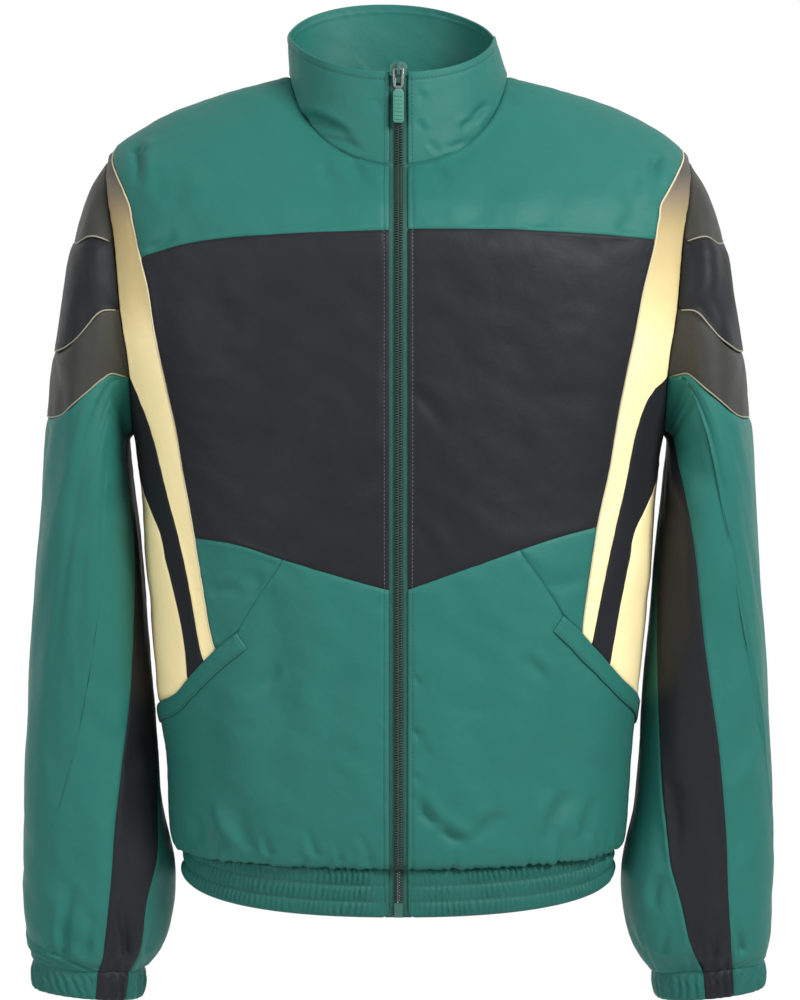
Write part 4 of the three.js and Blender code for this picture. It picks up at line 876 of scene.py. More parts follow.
for side, letter, front_column, back_column in ((1, "L", 3, 4), (-1, "R", 1, 2)):
    above, seam_above = "back", None
    for (angle, count, *course), (name, finish, size) in zip(SLEEVE_SEAMS, UPPER_ARM):
        foot = foot_line(angle, *course)
        if seam_above is None:
            top = straight([-angle, 0], [angle, 0])
        else:
            before, steps_before, seam_line = seam_above
            hole = round((angle - before) / 15)
            top = joined((straight([-angle, 0], [-before, 0]), hole),
                         (straight([-before, 0], [-before, SEAM_FOOT]), 1),
                         (seam_line, steps_before), (straight([before, SEAM_FOOT], [before, 0]), 1),
                         (straight([before, 0], [angle, 0]), hole))
        arm_piece(f"sleeve_{name}_{letter}", side, top, foot, straight([-angle, 0], [-angle, SEAM_FOOT]),
                  straight([angle, 0], [angle, SEAM_FOOT]), size, finish, [above], 3.0, 100 + side)
        above, seam_above = f"sleeve_{name}_{letter}", (angle, count, foot)
    before, steps_before, seam_line = seam_above
    top = joined((straight([-165, 0], [-before, 0]), 3), (straight([-before, 0], [-before, SEAM_FOOT]), 1),
                 (seam_line, steps_before), (straight([before, SEAM_FOOT], [before, 0]), 1),
                 (straight([before, 0], [165, 0]), 3))
    front, back_edge = under_edge(front_column), under_edge(back_column)
    around = turned_back(back_edge)
    wrist = straight(around(np.array(1.0)), front(np.array(1.0)))
    arm_piece(f"sleeve_{letter}", side, top, wrist, around, front, (440, 470), "green", [above], 3.2,
              110 + side, gather_strokes(260, 10, 46, 2.6, 51 + side))
    arm_piece(f"under_sleeve_{letter}", side, straight([165, 0], [195, 0]),
              straight(front(np.array(1.0)), back_edge(np.array(1.0))), front, back_edge, (70, 430), "navy",
              [f"sleeve_{letter}"], 3.0, 120 + side, gather_strokes(60, 10, 46, 2.4, 61 + side))
print("pieces so far:", len(PIECES))

# %% [markdown]
# ## The cuffs
# Each cuff is one elastic channel in a casing, gathered more coarsely than the hem. The dark strip under
# the arm carries on through it.

# %% Cuffs
CUFF_PITCH = 8.6
for side, letter, front_column, back_column in ((1, "L", 3, 4), (-1, "R", 1, 2)):
    front_angle, back_angle = UNDER[-1, front_column], UNDER[-1, back_column]
    for name, start, end, count, finish in (("cuff", back_angle - 360, front_angle, 300, "green"),
                                            ("cuff_dark", front_angle, back_angle, 44, "navy")):
        columns, rows = np.linspace(0, 1, count), np.linspace(0, 1, 19)
        turn = start + (end - start) * columns
        points, out = lay("cuff", np.stack(np.broadcast_arrays(turn[None], rows[:, None]), -1), side)
        distance = edge_distance(points)
        share = distance["top"] / distance["top"][-1:]
        ends = np.minimum(distance["left"], distance["right"])
        plain = 1 - np.exp(-(ends / 2.5) ** 2)
        height = 1.15 * gathered(distance["left"] * 1.05, share * 0.92, 1, CUFF_PITCH, plain, 71 + side) - 0.8
        height += -0.6 * np.exp(-(ends / 1.2) ** 2)
        points, out, height, wall = tucked(points, out, height, rounded_wall(distance["foot"], 1.4))
        cloth(f"{name}_{letter}", points, out, height, finish, wall=wall, held="gathered",
              rests_on=[f"sleeve_{letter}"], gathered=1.3)
print("pieces with cuffs:", len(PIECES))

# %% [markdown]
# ## Piping
# Piping is a thin cord folded into a strip of cloth and caught in a seam, so that a round edge shows along
# it. A curve with a bevel could make it. A tube swept along the finished panel's own edge lies on the cloth
# wherever the cloth swells or dips.


# %% Piping
def unit(vectors):
    return vectors / np.maximum(np.linalg.norm(vectors, axis=-1, keepdims=True), 1e-9)


def trim(name, vertices, faces, finish, replaces=(), body="jacket"):
    """A small piece from vertices in millimetres and faces, riding on a body."""
    mesh = bpy.data.meshes.new(name)
    mesh.from_pydata(np.asarray(vertices, float) / 1000, [], faces)
    mesh.shade_smooth()
    piece = bpy.data.objects.new(name, mesh)
    bpy.context.scene.collection.objects.link(piece)
    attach(piece, body)
    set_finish(piece, finish)
    if replaces:
        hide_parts(*replaces)
    return piece


def along_edge(name, edge, depth):
    """The line on a piece's outer face at a depth in from one edge, with the directions out of the cloth.
    The depth is measured along each line of the grid, and may be a number or one for each line."""
    face, out = PIECES[name]["face"], PIECES[name]["out"]
    if edge in ("left", "right"):
        face, out = face.swapaxes(0, 1), out.swapaxes(0, 1)
    if edge in ("right", "foot"):
        face, out = face[::-1], out[::-1]
    steps = np.linalg.norm(np.diff(face, axis=0), axis=2)
    lengths = np.pad(np.cumsum(steps, 0), ((1, 0), (0, 0)))
    depth = np.broadcast_to(depth, lengths.shape[1])
    row = np.clip((lengths < depth[None]).sum(0) - 1, 0, len(face) - 2)
    line_number = np.arange(lengths.shape[1])
    start = lengths[row, line_number]
    t = ((depth - start) / np.maximum(lengths[row + 1, line_number] - start, 1e-6))[:, None]
    points = face[row, line_number] * (1 - t) + face[row + 1, line_number] * t
    return points, unit(out[row, line_number] * (1 - t) + out[row + 1, line_number] * t)


def evenly(points, ways, pitch):
    """The same line in even steps of about the pitch."""
    lengths = np.r_[0, np.cumsum(np.linalg.norm(np.diff(points, axis=0), axis=1))]
    want = np.linspace(0, lengths[-1], max(int(round(lengths[-1] / pitch)), 2) + 1)

    def at(values):
        return np.stack([np.interp(want, lengths, values[:, k]) for k in range(3)], -1)

    return at(points), unit(at(ways))


def tube(points, ways, radius, squash, sides=10):
    """Vertices and faces of a round cord along a line: rings of points, half as wide at its two ends."""
    tangent = unit(np.gradient(points, axis=0))
    across = unit(np.cross(tangent, ways))
    up = np.cross(across, tangent)
    turn = np.linspace(0, 2 * np.pi, sides, endpoint=False)[None, :, None]
    size = np.full((len(points), 1, 1), radius)
    size[[0, -1]] *= 0.5
    rings = points[:, None] + size * (np.cos(turn) * across[:, None] + squash * np.sin(turn) * up[:, None])
    index = np.arange(len(points) * sides).reshape(len(points), sides)
    after = np.roll(index, -1, 1)
    quads = np.stack([index[:-1], after[:-1], after[1:], index[1:]], -1).reshape(-1, 4).tolist()
    return rings.reshape(-1, 3), quads + [index[0, ::-1].tolist(), index[-1].tolist()]


TRIMS = {}
for letter in "LR":
    for carrier, edge, name, radius in ((f"side_band_{letter}", "left", f"band_piping_{letter}", 0.8),
                                        (f"sleeve_cap_{letter}", "foot", f"piping_1_{letter}", 0.65),
                                        (f"sleeve_dark_{letter}", "foot", f"piping_2_{letter}", 0.65),
                                        (f"sleeve_taupe_{letter}", "foot", f"piping_3_{letter}", 0.65)):
        points, ways = evenly(*along_edge(carrier, edge, 0.7), 1.6)
        vertices, faces = tube(points + 0.7 * radius * ways, ways, radius, 0.9)
        TRIMS.setdefault(carrier, []).append(trim(f"{name}_cord", vertices, faces, "cream", [name]))
print("pipings:", sum(len(pieces) for pieces in TRIMS.values()))

# %% [markdown]
# ## Pocket welts
# A slanted pocket has a folded welt sewn over its lower lip. It is a strip as wide as a thumb that runs from
# a short square end near the front to the side seam. It is laid on the lower front by stepping over that
# panel's own grid, square to the slanted edge.

# %% Welts
WELT = 15.5
WELT_STEP = 0.5


def sample(grid, i, j):
    """Values of a grid between its lines, blended from the four corners around."""
    i = np.clip(i, 0, grid.shape[1] - 1.001)
    j = np.clip(j, 0, grid.shape[0] - 1.001)
    a, b = np.floor(i).astype(int), np.floor(j).astype(int)
    u, w = (i - a)[:, None], (j - b)[:, None]
    return ((1 - u) * (1 - w) * grid[b, a] + u * (1 - w) * grid[b, a + 1]
            + (1 - u) * w * grid[b + 1, a] + u * w * grid[b + 1, a + 1])


for letter in "LR":
    carrier = PIECES[f"lower_front_{letter}"]
    columns = np.flatnonzero(carrier["columns"] > 7.999 / 18)
    face, out = carrier["face"], carrier["out"]
    lip = between(columns, np.linspace(0, len(columns) - 1, 84))
    i, j = lip.copy(), np.zeros(len(lip))
    start = sample(face, i, j)
    tangent = unit(np.gradient(start, axis=0))
    share = np.linspace(0, 1, len(lip))
    blend = np.clip((share - 0.72) / 0.28, 0, 1) ** 2
    lines = [(start, sample(out, i, j))]
    for _ in range(int(WELT / WELT_STEP)):
        right = sample(face, i + 0.5, j) - sample(face, i - 0.5, j)
        down = sample(face, i, j + 0.5) - sample(face, i, j - 0.5)
        right /= np.where((i < 0.5) | (i > face.shape[1] - 1.5), 0.5, 1)[:, None]
        down /= np.where(j < 0.5, 0.5, 1)[:, None]
        square = unit(np.cross(tangent, sample(out, i, j)))
        square *= np.sign((square * down).sum(1, keepdims=True))
        way = unit(down)
        aside = (way * tangent).sum(1) / np.maximum((way * square).sum(1), 0.2)
        move = WELT_STEP * (square + (aside * blend)[:, None] * tangent)
        aa, bb, ab = (right * right).sum(1), (down * down).sum(1), (right * down).sum(1)
        am, bm = (right * move).sum(1), (down * move).sum(1)
        scale = aa * bb - ab**2
        i = np.clip(i + (am * bb - bm * ab) / scale, 0, face.shape[1] - 1.001)
        j = j + (bm * aa - am * ab) / scale
        lines.append((sample(face, i, j), sample(out, i, j)))
    points = np.stack([p for p, _ in lines])
    ways = np.stack([w for _, w in lines])
    keep = np.r_[0, 1, 2, 3, 4, np.arange(6, len(lines) - 6, 2), np.arange(len(lines) - 5, len(lines))]
    points, ways = points[keep], ways[keep]
    distance = edge_distance(points)
    rim = np.minimum.reduce([distance["top"], distance["foot"], distance["left"]])
    height = 0.95 + 0.55 * (1 - np.exp(-(rim / 1.2) ** 2))
    height += 0.25 * swell(distance["left"], distance["top"], 14, 95)
    for edge in ("foot", "left"):
        height -= 0.5 * np.exp(-((distance[edge] - 2.0) / 0.8) ** 2)
    cloth(f"pocket_welt_{letter}", points, ways, height, "green", wall=rounded_wall(rim, 1.3),
          rests_on=[f"lower_front_{letter}"])
print("welt grid:", points.shape[:2])

# %% [markdown]
# ## Stitches
# Topstitching is a row of short threads, each pulled down at both ends. A texture would do from far off.
# Here each stitch is a spindle with four sides, and all stitches of a row are one mesh.

# %% Stitches
PITCH = 3.2
SPINDLE = np.array([[-1.3, 0.0, -0.25], [-0.65, 0.22, 0.02], [0.65, 0.22, 0.02], [1.3, 0.0, -0.25]])


def stitch_row(name, rows, finish):
    """One mesh of stitches along several lines of points and directions."""
    vertices, faces = [], []
    corner = np.array([[1, 0], [0, 1], [-1, 0], [0, -1]])
    for points, ways in rows:
        points, ways = evenly(points, ways, PITCH)
        middle, up = (points[1:] + points[:-1]) / 2, unit(ways[1:] + ways[:-1])
        ahead = unit(points[1:] - points[:-1])
        across = np.cross(ahead, up)
        parts = []
        for at, radius, lift in SPINDLE:
            centre = middle + at * ahead + (lift + 0.1) * up
            parts += [centre] if radius == 0 else [centre + radius * (a * across + b * up) for a, b in corner]
        block = np.stack(parts, 1)
        first = sum(len(b) for b in vertices) + 10 * np.arange(len(block))
        for k in range(4):
            n = (k + 1) % 4
            faces += np.stack([first, first + 1 + n, first + 1 + k], -1).tolist()
            faces += np.stack([first + 9, first + 5 + k, first + 5 + n], -1).tolist()
            faces += np.stack([first + 1 + k, first + 1 + n, first + 5 + n, first + 5 + k], -1).tolist()
        vertices.append(block.reshape(-1, 3))
    return trim(name, np.concatenate(vertices), faces, finish)


def face_row(name, share):
    """A row of a band's outer face, by its share down the band."""
    face, out = PIECES[name]["face"], PIECES[name]["out"]
    k = 1 + int(round(share * (len(face) - 2)))
    return face[k], out[k]


for letter in "LR":
    for name, finish in (("yoke_front", "green"), ("chest", "navy"), ("lower_front", "green")):
        carrier = f"{name}_{letter}"
        row = stitch_row(f"zip_stitches_{carrier}", [along_edge(carrier, "left", STITCH_IN)], finish)
        TRIMS.setdefault(carrier, []).append(row)
    welt = f"pocket_welt_{letter}"
    TRIMS[welt] = [stitch_row(f"welt_stitches_{letter}", [along_edge(welt, edge, 2.0) for edge in ("foot", "left")],
                              "green")]
TRIMS["collar"] = [stitch_row("collar_stitches", [along_edge("collar", edge, depth) for edge, depth in
                                                  (("top", 6.5), ("left", 4.0), ("right", 4.0))], "green")]
TRIMS["hem_band"] = [stitch_row("hem_stitches", [face_row("hem_band", 1 / 3), face_row("hem_band", 2 / 3),
                                                 along_edge("hem_band", "left", 4.2),
                                                 along_edge("hem_band", "right", 4.2)], "green")]
print("trimmed pieces:", len(TRIMS))

# %% [markdown]
# ## The zip
# Each tape is a woven band sewn behind a front edge. The teeth are moulded on its edge, each a small block
# with a narrower head that locks between two heads of the other side. One tooth is made once and repeated
# along the middle line in one mesh for each side.

# %% Zip
TOOTH_PITCH = 2.05
# distance from the middle, half length along the zip, half height
TOOTH = np.array([[-0.55, 0.42, 0.62], [0.25, 0.78, 0.95], [2.1, 0.58, 0.95], [3.25, 0.45, 0.55]])
BOX_HEIGHT, SLIDER_LENGTH = 12.0, 17.0


def middle_line(angle=0.0):
    """The line up the front from the hem band's lower edge to the collar's top, smoothed over its bends."""
    parts = [lay("hem", np.stack([np.full(40, angle), np.linspace(1, 0, 40)], -1)),
             lay("body", np.stack([np.full(600, angle), np.linspace(0, NECK, 600)], -1)),
             lay("collar", np.stack([np.full(60, angle), np.linspace(0, 1, 60)], -1))]
    points, ways = (np.concatenate([part[k][1 if n else 0:] for n, part in enumerate(parts)]) for k in (0, 1))
    points, ways = evenly(points, ways, 1.0)
    kernel = np.hanning(9) / np.hanning(9).sum()

    def smoothed(values):
        padded = np.pad(values, ((4, 4), (0, 0)), mode="reflect", reflect_type="odd")
        return np.stack([np.convolve(padded[:, k], kernel, "valid") for k in range(3)], -1)

    return smoothed(points), unit(smoothed(ways))


zip_points, zip_ways = middle_line()
zip_lengths = np.r_[0, np.cumsum(np.linalg.norm(np.diff(zip_points, axis=0), axis=1))]
zip_ahead = unit(np.gradient(zip_points, axis=0))


def on_zip(lengths):
    """Points, directions out and directions up the zip at lengths from its foot."""
    def at(values):
        return np.stack([np.interp(lengths, zip_lengths, values[:, k]) for k in range(3)], -1)
    return at(zip_points), unit(at(zip_ways)), unit(at(zip_ahead))


across = np.array([1.0, 0.0, 0.0])
top_length = zip_lengths[-1] - (SLIDER_LENGTH - 6)
for side, letter, shift in ((1, "L", 0.0), (-1, "R", 0.5)):
    lengths = np.arange(BOX_HEIGHT + 0.8 + shift * TOOTH_PITCH, top_length, TOOTH_PITCH)
    points, ways, ahead = on_zip(lengths)
    block = []
    for x, half, high in TOOTH:
        for a, b in ((-1, -1), (1, -1), (1, 1), (-1, 1)):
            block.append(points + side * x * across + a * half * ahead + (b * high - 0.35) * ways)
    block = np.stack(block, 1)
    first = 16 * np.arange(len(block))
    faces = []
    for k in range(3):
        for c in range(4):
            n = (c + 1) % 4
            low = first + 4 * k
            faces += np.stack([low + c, low + n, low + 4 + n, low + 4 + c], -1).tolist()
    faces += np.stack([first + 3, first + 2, first + 1, first], -1).tolist()
    faces += np.stack([first + 12, first + 13, first + 14, first + 15], -1).tolist()
    if side < 0:
        faces = [face[::-1] for face in faces]
    trim(f"zip_teeth_{letter}", block.reshape(-1, 3), faces, "chain", ["zip_chain"])

    # The tape, wavy by a few tenths where its seam pulls it.
    lengths = np.arange(0, zip_lengths[-1] + 0.01, 2.5)
    points, ways, ahead = on_zip(lengths)
    xs = np.array([0.9, 1.6, 3.4, 5, 6.6, 8.2, 9.6, 10.6])
    grid = points[::-1, None] + side * xs[None, :, None] * across
    out = np.broadcast_to(ways[::-1, None], grid.shape)
    height = -1.95 + 0.12 * swell(np.broadcast_to(lengths[::-1, None], grid.shape[:2]), xs[None], 9, 131)
    cloth(f"zip_tape_{letter}", grid, out, height, "tape", wall=0.8, rests_on=[f"chest_{letter}"])
print("teeth on each side:", len(block))


def rounded_part(name, width, segments):
    """The CAD part's own form with its edges rounded, as moulding, plating and paint leave them."""
    source = frame["nodes"][name]
    body_name = source["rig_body"]
    mesh = source.data.copy()
    mesh.materials.clear()
    mesh.name = f"{name}_part"
    work = bmesh.new()
    work.from_mesh(mesh)
    bmesh.ops.remove_doubles(work, verts=work.verts, dist=2e-6)
    bmesh.ops.dissolve_limit(work, angle_limit=math.radians(4), verts=work.verts, edges=work.edges)
    sharp = [edge for edge in work.edges if edge.is_manifold and edge.calc_face_angle(0) > math.radians(24)]
    bmesh.ops.bevel(work, geom=sharp, offset=width / 1000, segments=segments, profile=0.5, affect="EDGES",
                    clamp_overlap=True)
    work.to_mesh(mesh)
    work.free()
    mesh.shade_smooth()
    piece = bpy.data.objects.new(f"{name}_part", mesh)
    bpy.context.scene.collection.objects.link(piece)
    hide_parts(name)
    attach(piece, body_name)
    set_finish(piece, "tab" if name == "pull_tab" else "metal")
    return piece


HARDWARE = {
    "zip_box": rounded_part("zip_box", 0.5, 3), "zip_slider": rounded_part("zip_slider", 0.45, 3),
    "pull_link": rounded_part("pull_link", 0.4, 3), "pull_tab": rounded_part("pull_tab", 0.35, 3),
}
print("hardware faces:", {name: len(piece.data.polygons) for name, piece in HARDWARE.items()})

# %% [markdown]
# ## Materials
# The shell is a plain-woven polyester, matt with a soft sheen. One node group gives every cloth its weave,
# its small crinkles and a slight unevenness of colour. Another serves the painted and plated metal, the
# threads, the moulded teeth and the rubber tab. An image could carry all this, but noise has no edge or size.


# %% Shader groups
def put(tree, kind, values=(), **settings):
    """A node with its settings, its inputs linked or set by name or number."""
    node = tree.nodes.new(kind)
    for key, value in settings.items():
        setattr(node, key, value)
    for key, value in dict(values).items():
        if isinstance(value, bpy.types.NodeSocket):
            tree.links.new(value, node.inputs[key])
        else:
            node.inputs[key].default_value = value
    return node


def maths(tree, operation, *values):
    return put(tree, "ShaderNodeMath", dict(enumerate(values)), operation=operation).outputs[0]


def group(name, inputs, outputs):
    """An empty node group with named sockets."""
    tree = bpy.data.node_groups.new(name, "ShaderNodeTree")
    for label, kind, default in inputs:
        tree.interface.new_socket(label, in_out="INPUT", socket_type=kind).default_value = default
    for label, kind in outputs:
        tree.interface.new_socket(label, in_out="OUTPUT", socket_type=kind)
    return tree, tree.nodes.new("NodeGroupInput").outputs, tree.nodes.new("NodeGroupOutput")


def finish_group(tree, end, results):
    for label, value in results.items():
        tree.links.new(value, end.inputs[label])
    return tree


COLOUR, NUMBER, VECTOR = "NodeSocketColor", "NodeSocketFloat", "NodeSocketVector"
SURFACE_OUTPUTS = [("Colour", COLOUR), ("Roughness", NUMBER), ("Normal", VECTOR)]


def noise(tree, place, scale, detail, roughness):
    """Random grey that changes smoothly over the given places."""
    inputs = {"Vector": place, "Scale": scale, "Detail": detail, "Roughness": roughness}
    return put(tree, "ShaderNodeTexNoise", inputs).outputs[0]


def shade(tree, colour, factor):
    """A colour times a grey factor."""
    mixed = put(tree, "ShaderNodeMix", {"Factor": 1.0}, data_type="RGBA", blend_type="MULTIPLY")
    grey = put(tree, "ShaderNodeCombineColor", {"Red": factor, "Green": factor, "Blue": factor})
    tree.links.new(colour, mixed.inputs[6])
    tree.links.new(grey.outputs[0], mixed.inputs[7])
    return mixed.outputs[2]


def cloth_group():
    """Weave: the product of two sines along and across the cloth. Crinkle and mottle: noise in the piece's
    own space. The crinkle and the weave are two bumps in a row."""
    tree, into, end = group("woven cloth", [
        ("Colour", COLOUR, (0.1, 0.3, 0.25, 1)), ("Roughness", NUMBER, 0.55),
        ("Thread spacing", NUMBER, 0.0006), ("Weave depth", NUMBER, 0.00003),
        ("Crinkle depth", NUMBER, 0.0007), ("Mottle", NUMBER, 0.08),
    ], SURFACE_OUTPUTS)
    uv = put(tree, "ShaderNodeUVMap", uv_map="UVMap").outputs[0]
    place = put(tree, "ShaderNodeTexCoord").outputs["Object"]
    split = put(tree, "ShaderNodeSeparateXYZ", {0: uv}).outputs
    waves = [maths(tree, "SINE", maths(tree, "DIVIDE", maths(tree, "MULTIPLY", split[k], 2 * math.pi),
                                       into["Thread spacing"])) for k in (0, 1)]
    weave = maths(tree, "MULTIPLY", *waves)
    crinkle, broad = noise(tree, place, 85.0, 5.0, 0.55), noise(tree, place, 26.0, 2.0, 0.5)
    fibre, mottle = noise(tree, uv, 1400.0, 2.0, 0.6), noise(tree, place, 11.0, 4.0, 0.6)
    height = maths(tree, "ADD", crinkle, maths(tree, "MULTIPLY", broad, 1.6))
    soft = put(tree, "ShaderNodeBump", {"Strength": 0.8, "Distance": into["Crinkle depth"], "Height": height})
    fine = put(tree, "ShaderNodeBump", {"Strength": 0.6, "Distance": into["Weave depth"], "Height": weave,
                                        "Normal": soft.outputs[0]})
    even = maths(tree, "ADD", maths(tree, "MULTIPLY", maths(tree, "SUBTRACT", mottle, 0.5), into["Mottle"]),
                 maths(tree, "MULTIPLY", maths(tree, "SUBTRACT", fibre, 0.5), 0.12))
    even = maths(tree, "ADD", even, maths(tree, "MULTIPLY_ADD", weave, 0.03, 1.0))
    rough = maths(tree, "ADD", into["Roughness"],
                  maths(tree, "MULTIPLY", maths(tree, "SUBTRACT", crinkle, 0.5), 0.18))
    return finish_group(tree, end, {"Colour": shade(tree, into["Colour"], even), "Roughness": rough,
                                    "Normal": fine.outputs[0]})


def hard_group():
    """Scuffs and grain for plating, paint and rubber: fine noise in the bump, broad noise in colour and
    gloss."""
    tree, into, end = group("hard surface", [
        ("Colour", COLOUR, (0.5, 0.5, 0.5, 1)), ("Roughness", NUMBER, 0.35), ("Grain size", NUMBER, 900.0),
        ("Grain depth", NUMBER, 0.00003), ("Wear", NUMBER, 0.15),
    ], SURFACE_OUTPUTS)
    place = put(tree, "ShaderNodeTexCoord").outputs["Object"]
    grain = noise(tree, place, into["Grain size"], 3.0, 0.5)
    worn = noise(tree, place, 240.0, 4.0, 0.65)
    bump = put(tree, "ShaderNodeBump", {"Strength": 0.7, "Distance": into["Grain depth"], "Height": grain})
    change = maths(tree, "MULTIPLY", maths(tree, "SUBTRACT", worn, 0.5), into["Wear"])
    return finish_group(tree, end, {"Colour": shade(tree, into["Colour"], maths(tree, "ADD", change, 1.0)),
                                    "Roughness": maths(tree, "MULTIPLY_ADD", change, -1.2, into["Roughness"]),
                                    "Normal": bump.outputs[0]})


CLOTH_GROUP, HARD_GROUP = cloth_group(), hard_group()
print("shader groups:", [tree.name for tree in (CLOTH_GROUP, HARD_GROUP)])


# %% Materials
def linear(red, green, blue):
    """A colour seen on a screen as the light it stands for."""
    return tuple(c / 12.92 if c <= 0.04045 else ((c + 0.055) / 1.055) ** 2.4
                 for c in (red / 255, green / 255, blue / 255)) + (1.0,)


def material(name, tree_group, values, shader, colour_ramp=None):
    """A Principled shader fed by one of the groups. Sheen and the rest are set on the shader itself."""
    made = bpy.data.materials.new(name)
    made.use_nodes = True
    tree = made.node_tree
    principled = tree.nodes["Principled BSDF"]
    source = put(tree, "ShaderNodeGroup", node_tree=tree_group)
    for key, value in values.items():
        source.inputs[key].default_value = value
    if colour_ramp:
        place = put(tree, "ShaderNodeTexCoord").outputs["Object"]
        height = put(tree, "ShaderNodeSeparateXYZ", {0: place}).outputs[2]
        low, high = colour_ramp[0][0], colour_ramp[-1][0]
        share = put(tree, "ShaderNodeMapRange", {0: height, 1: low, 2: high})
        ramp = put(tree, "ShaderNodeValToRGB", {0: share.outputs[0]})
        while len(ramp.color_ramp.elements) < len(colour_ramp):
            ramp.color_ramp.elements.new(0.5)
        for element, (at, colour) in zip(ramp.color_ramp.elements, colour_ramp):
            element.position = (at - low) / (high - low)
            element.color = colour
        tree.links.new(ramp.outputs[0], source.inputs["Colour"])
    for label, socket in (("Colour", "Base Color"), ("Roughness", "Roughness"), ("Normal", "Normal")):
        tree.links.new(source.outputs[label], principled.inputs[socket])
    for key, value in shader.items():
        principled.inputs[key].default_value = value
    return made


SHELL_SHADER = {"Specular IOR Level": 0.22, "Sheen Weight": 0.03, "Sheen Roughness": 0.45}
DARK_SHADER = {"Specular IOR Level": 0.2, "Sheen Weight": 0.03, "Sheen Roughness": 0.5}
# The yellow band's colour darkens through tan to taupe towards its top at the shoulder, set by height.
YELLOW_RAMP = [(-0.205, linear(250, 232, 175)), (-0.171, linear(216, 197, 142)),
               (-0.116, linear(178, 159, 113)), (-0.088, linear(120, 108, 90)), (-0.072, linear(78, 74, 67))]


def cloth_material(name, colour, shader=SHELL_SHADER, ramp=None, **values):
    """A cloth finish; the keywords are the group's inputs with their spaces as underscores."""
    inputs = {"Colour": linear(*colour), **{key.replace("_", " "): value for key, value in values.items()}}
    return material(name, CLOTH_GROUP, inputs, shader, ramp)


def hard_material(name, colour, roughness, shader, **values):
    """A finish for thread, metal, teeth or rubber, with its keywords as above."""
    inputs = {"Colour": linear(*colour), "Roughness": roughness,
              **{key.replace("_", " "): value for key, value in values.items()}}
    return material(name, HARD_GROUP, inputs, shader)


THREAD_SHADER = {"Sheen Weight": 0.2}
MATERIALS = {
    "green": cloth_material("green shell cloth", (33, 102, 93)),
    # The gathered hem band and green cuffs use the shell's green made darker: painted shade of the hollows between
    # their gathers.
    "gathered green with painted shade": cloth_material("green shell cloth with painted shade of its gathers", (28, 92, 84), Crinkle_depth=0.001),
    "navy": cloth_material("dark shell cloth", (27, 29, 33), DARK_SHADER, Mottle=0.14),
    "taupe": cloth_material("taupe shell cloth", (54, 54, 50), DARK_SHADER),
    "yellow": cloth_material("yellow shell cloth", (250, 232, 175), ramp=YELLOW_RAMP, Mottle=0.05),
    "cream": cloth_material("cream piping cloth", (196, 186, 156), Crinkle_depth=0.0002),
    "tan": cloth_material("tan piping cloth", (142, 138, 120), Crinkle_depth=0.0002),
    "tape": cloth_material("green zip tape", (38, 84, 76), Thread_spacing=0.0012, Weave_depth=0.00012),
    # The green thread is much darker than the shell: partly its own colour, partly painted shade of the grooves the
    # stitches sit in.
    "green thread": hard_material("green thread", (12, 40, 35), 0.5, THREAD_SHADER, Grain_size=3000.0),
    "grey thread": hard_material("grey thread", (104, 102, 116), 0.5, THREAD_SHADER, Grain_size=3000.0),
    "chain": hard_material("moulded zip teeth", (20, 44, 37), 0.4, {"Specular IOR Level": 0.5}, Wear=0.3),
    "painted": hard_material("painted slider metal", (60, 104, 94), 0.32,
                             {"Metallic": 0.35, "Coat Weight": 0.3}, Wear=0.35),
    "metal": hard_material("plated metal", (150, 156, 152), 0.3, {"Metallic": 0.9}, Wear=0.4),
    "tab": hard_material("moulded rubber", (64, 122, 110), 0.5, {"Specular IOR Level": 0.35},
                         Grain_size=1500.0, Grain_depth=0.00005),
}
HARD_FINISH = {"zip_box": "painted", "zip_slider": "painted", "pull_link": "metal", "pull_tab": "tab"}


def paint(piece, finish):
    piece.data.materials.clear()
    piece.data.materials.append(MATERIALS[finish])


for piece in list(bpy.data.objects):
    if piece.type != "MESH" or piece.hide_render:
        continue
    label = piece.get("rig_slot", "green")
    if "stitches" in piece.name:
        label = "grey thread" if "chest" in piece.name else "green thread"
    elif piece.name.startswith(("hem_band", "cuff_L", "cuff_R")):
        # The hem band and the green cuffs take the darker green, which is painted shade of their gathers.
        label = "gathered green with painted shade"
    elif piece.name.startswith("piping"):
        label = "tan"
    paint(piece, label)
for name, piece in HARDWARE.items():
    paint(piece, HARD_FINISH[name])
print("materials:", len(MATERIALS))

# %% [markdown]
# ## Camera, light and floor
# The jacket was shot from straight ahead, a little above its middle, with a long lens, in even white light
# that is stronger from the upper right. The floor is the pale ground that a wearer would stand on.

# %% Camera, light and floor
scene = bpy.context.scene
scene.view_settings.view_transform = "Standard"
camera_data = bpy.data.cameras.new("camera")
camera_data.lens = 4283 * 36 / 1000
camera = bpy.data.objects.new("camera", camera_data)
scene.collection.objects.link(camera)
camera.location = (0.0012, -3.5, -0.05)
camera.rotation_euler = (Vector((0.0012, 0, -0.34)) - camera.location).to_track_quat("-Z", "Y").to_euler()
scene.camera = camera

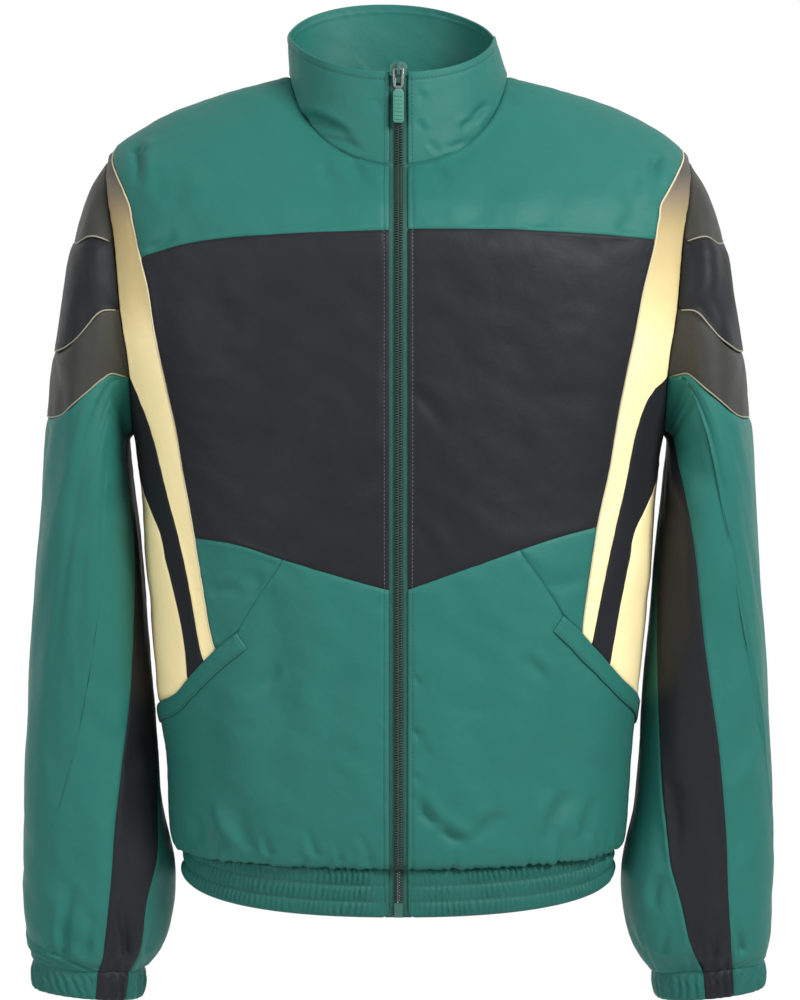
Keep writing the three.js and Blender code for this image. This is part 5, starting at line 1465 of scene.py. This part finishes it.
ROOM_LIGHT = 0.42
world = bpy.data.worlds.new("white studio")
world.use_nodes = True
tree = world.node_tree
around = put(tree, "ShaderNodeSeparateXYZ", {0: put(tree, "ShaderNodeTexCoord").outputs["Generated"]})
level = put(tree, "ShaderNodeMapRange", {0: around.outputs[1], 1: 0.1, 2: 0.7, 3: ROOM_LIGHT, 4: 1.0},
            interpolation_type="SMOOTHSTEP")
tree.links.new(level.outputs[0], tree.nodes["Background"].inputs["Strength"])
tree.nodes["Background"].inputs["Color"].default_value = (1, 1, 1, 1)
scene.world = world


def lamp(name, place, aim, size, power):
    """A square soft light that faces a point."""
    data = bpy.data.lights.new(name, "AREA")
    data.size, data.energy = size, power
    light = bpy.data.objects.new(name, data)
    scene.collection.objects.link(light)
    light.location = place
    light.rotation_euler = (Vector(aim) - light.location).to_track_quat("-Z", "Y").to_euler()


lamp("soft key", (1.6, -1.7, 1.2), (0, 0, -0.3), 0.9, 86)
lamp("soft fill", (-1.8, -2.0, 0.4), (0, 0, -0.35), 1.2, 30)

FLOOR_REACH, FLOOR_HEIGHT = 1.6, -1.45
floor_mesh = bpy.data.meshes.new("floor")
corners = [(x * FLOOR_REACH, y * FLOOR_REACH, FLOOR_HEIGHT) for x, y in ((-1, -1), (1, -1), (1, 1), (-1, 1))]
floor_mesh.from_pydata(corners, [], [(0, 1, 2, 3)])
floor = bpy.data.objects.new("floor", floor_mesh)
scene.collection.objects.link(floor)
floor.data.materials.append(material("pale floor", HARD_GROUP, {
    "Colour": (0.8, 0.8, 0.8, 1), "Roughness": 0.6, "Grain size": 40.0}, {}))
print("camera lens:", round(camera_data.lens, 1))

# %% [markdown]
# ## Cuts
# Every piece of cloth has the size of its cut kept in a table. A gathered piece was cut longer than it shows.
# The loop below works out a narrower width for a cut whose area is much smaller than its flat size, and
# keeps it nowhere.

# %% Cuts
for name, cut in CUTS.items():
    width, length = cut["flat"]
    area = min(cut["area"], width * length)
    if area < 0.32 * width * length:
        width = area / (0.4 * length)

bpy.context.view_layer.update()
shown = {o.name: sum(len(f.vertices) - 2 for f in o.data.polygons) for o in bpy.data.objects
         if o.type == "MESH" and not o.hide_render}
print("triangles:", sum(shown.values()), "most:", sorted(shown.items(), key=lambda entry: -entry[1])[:14])
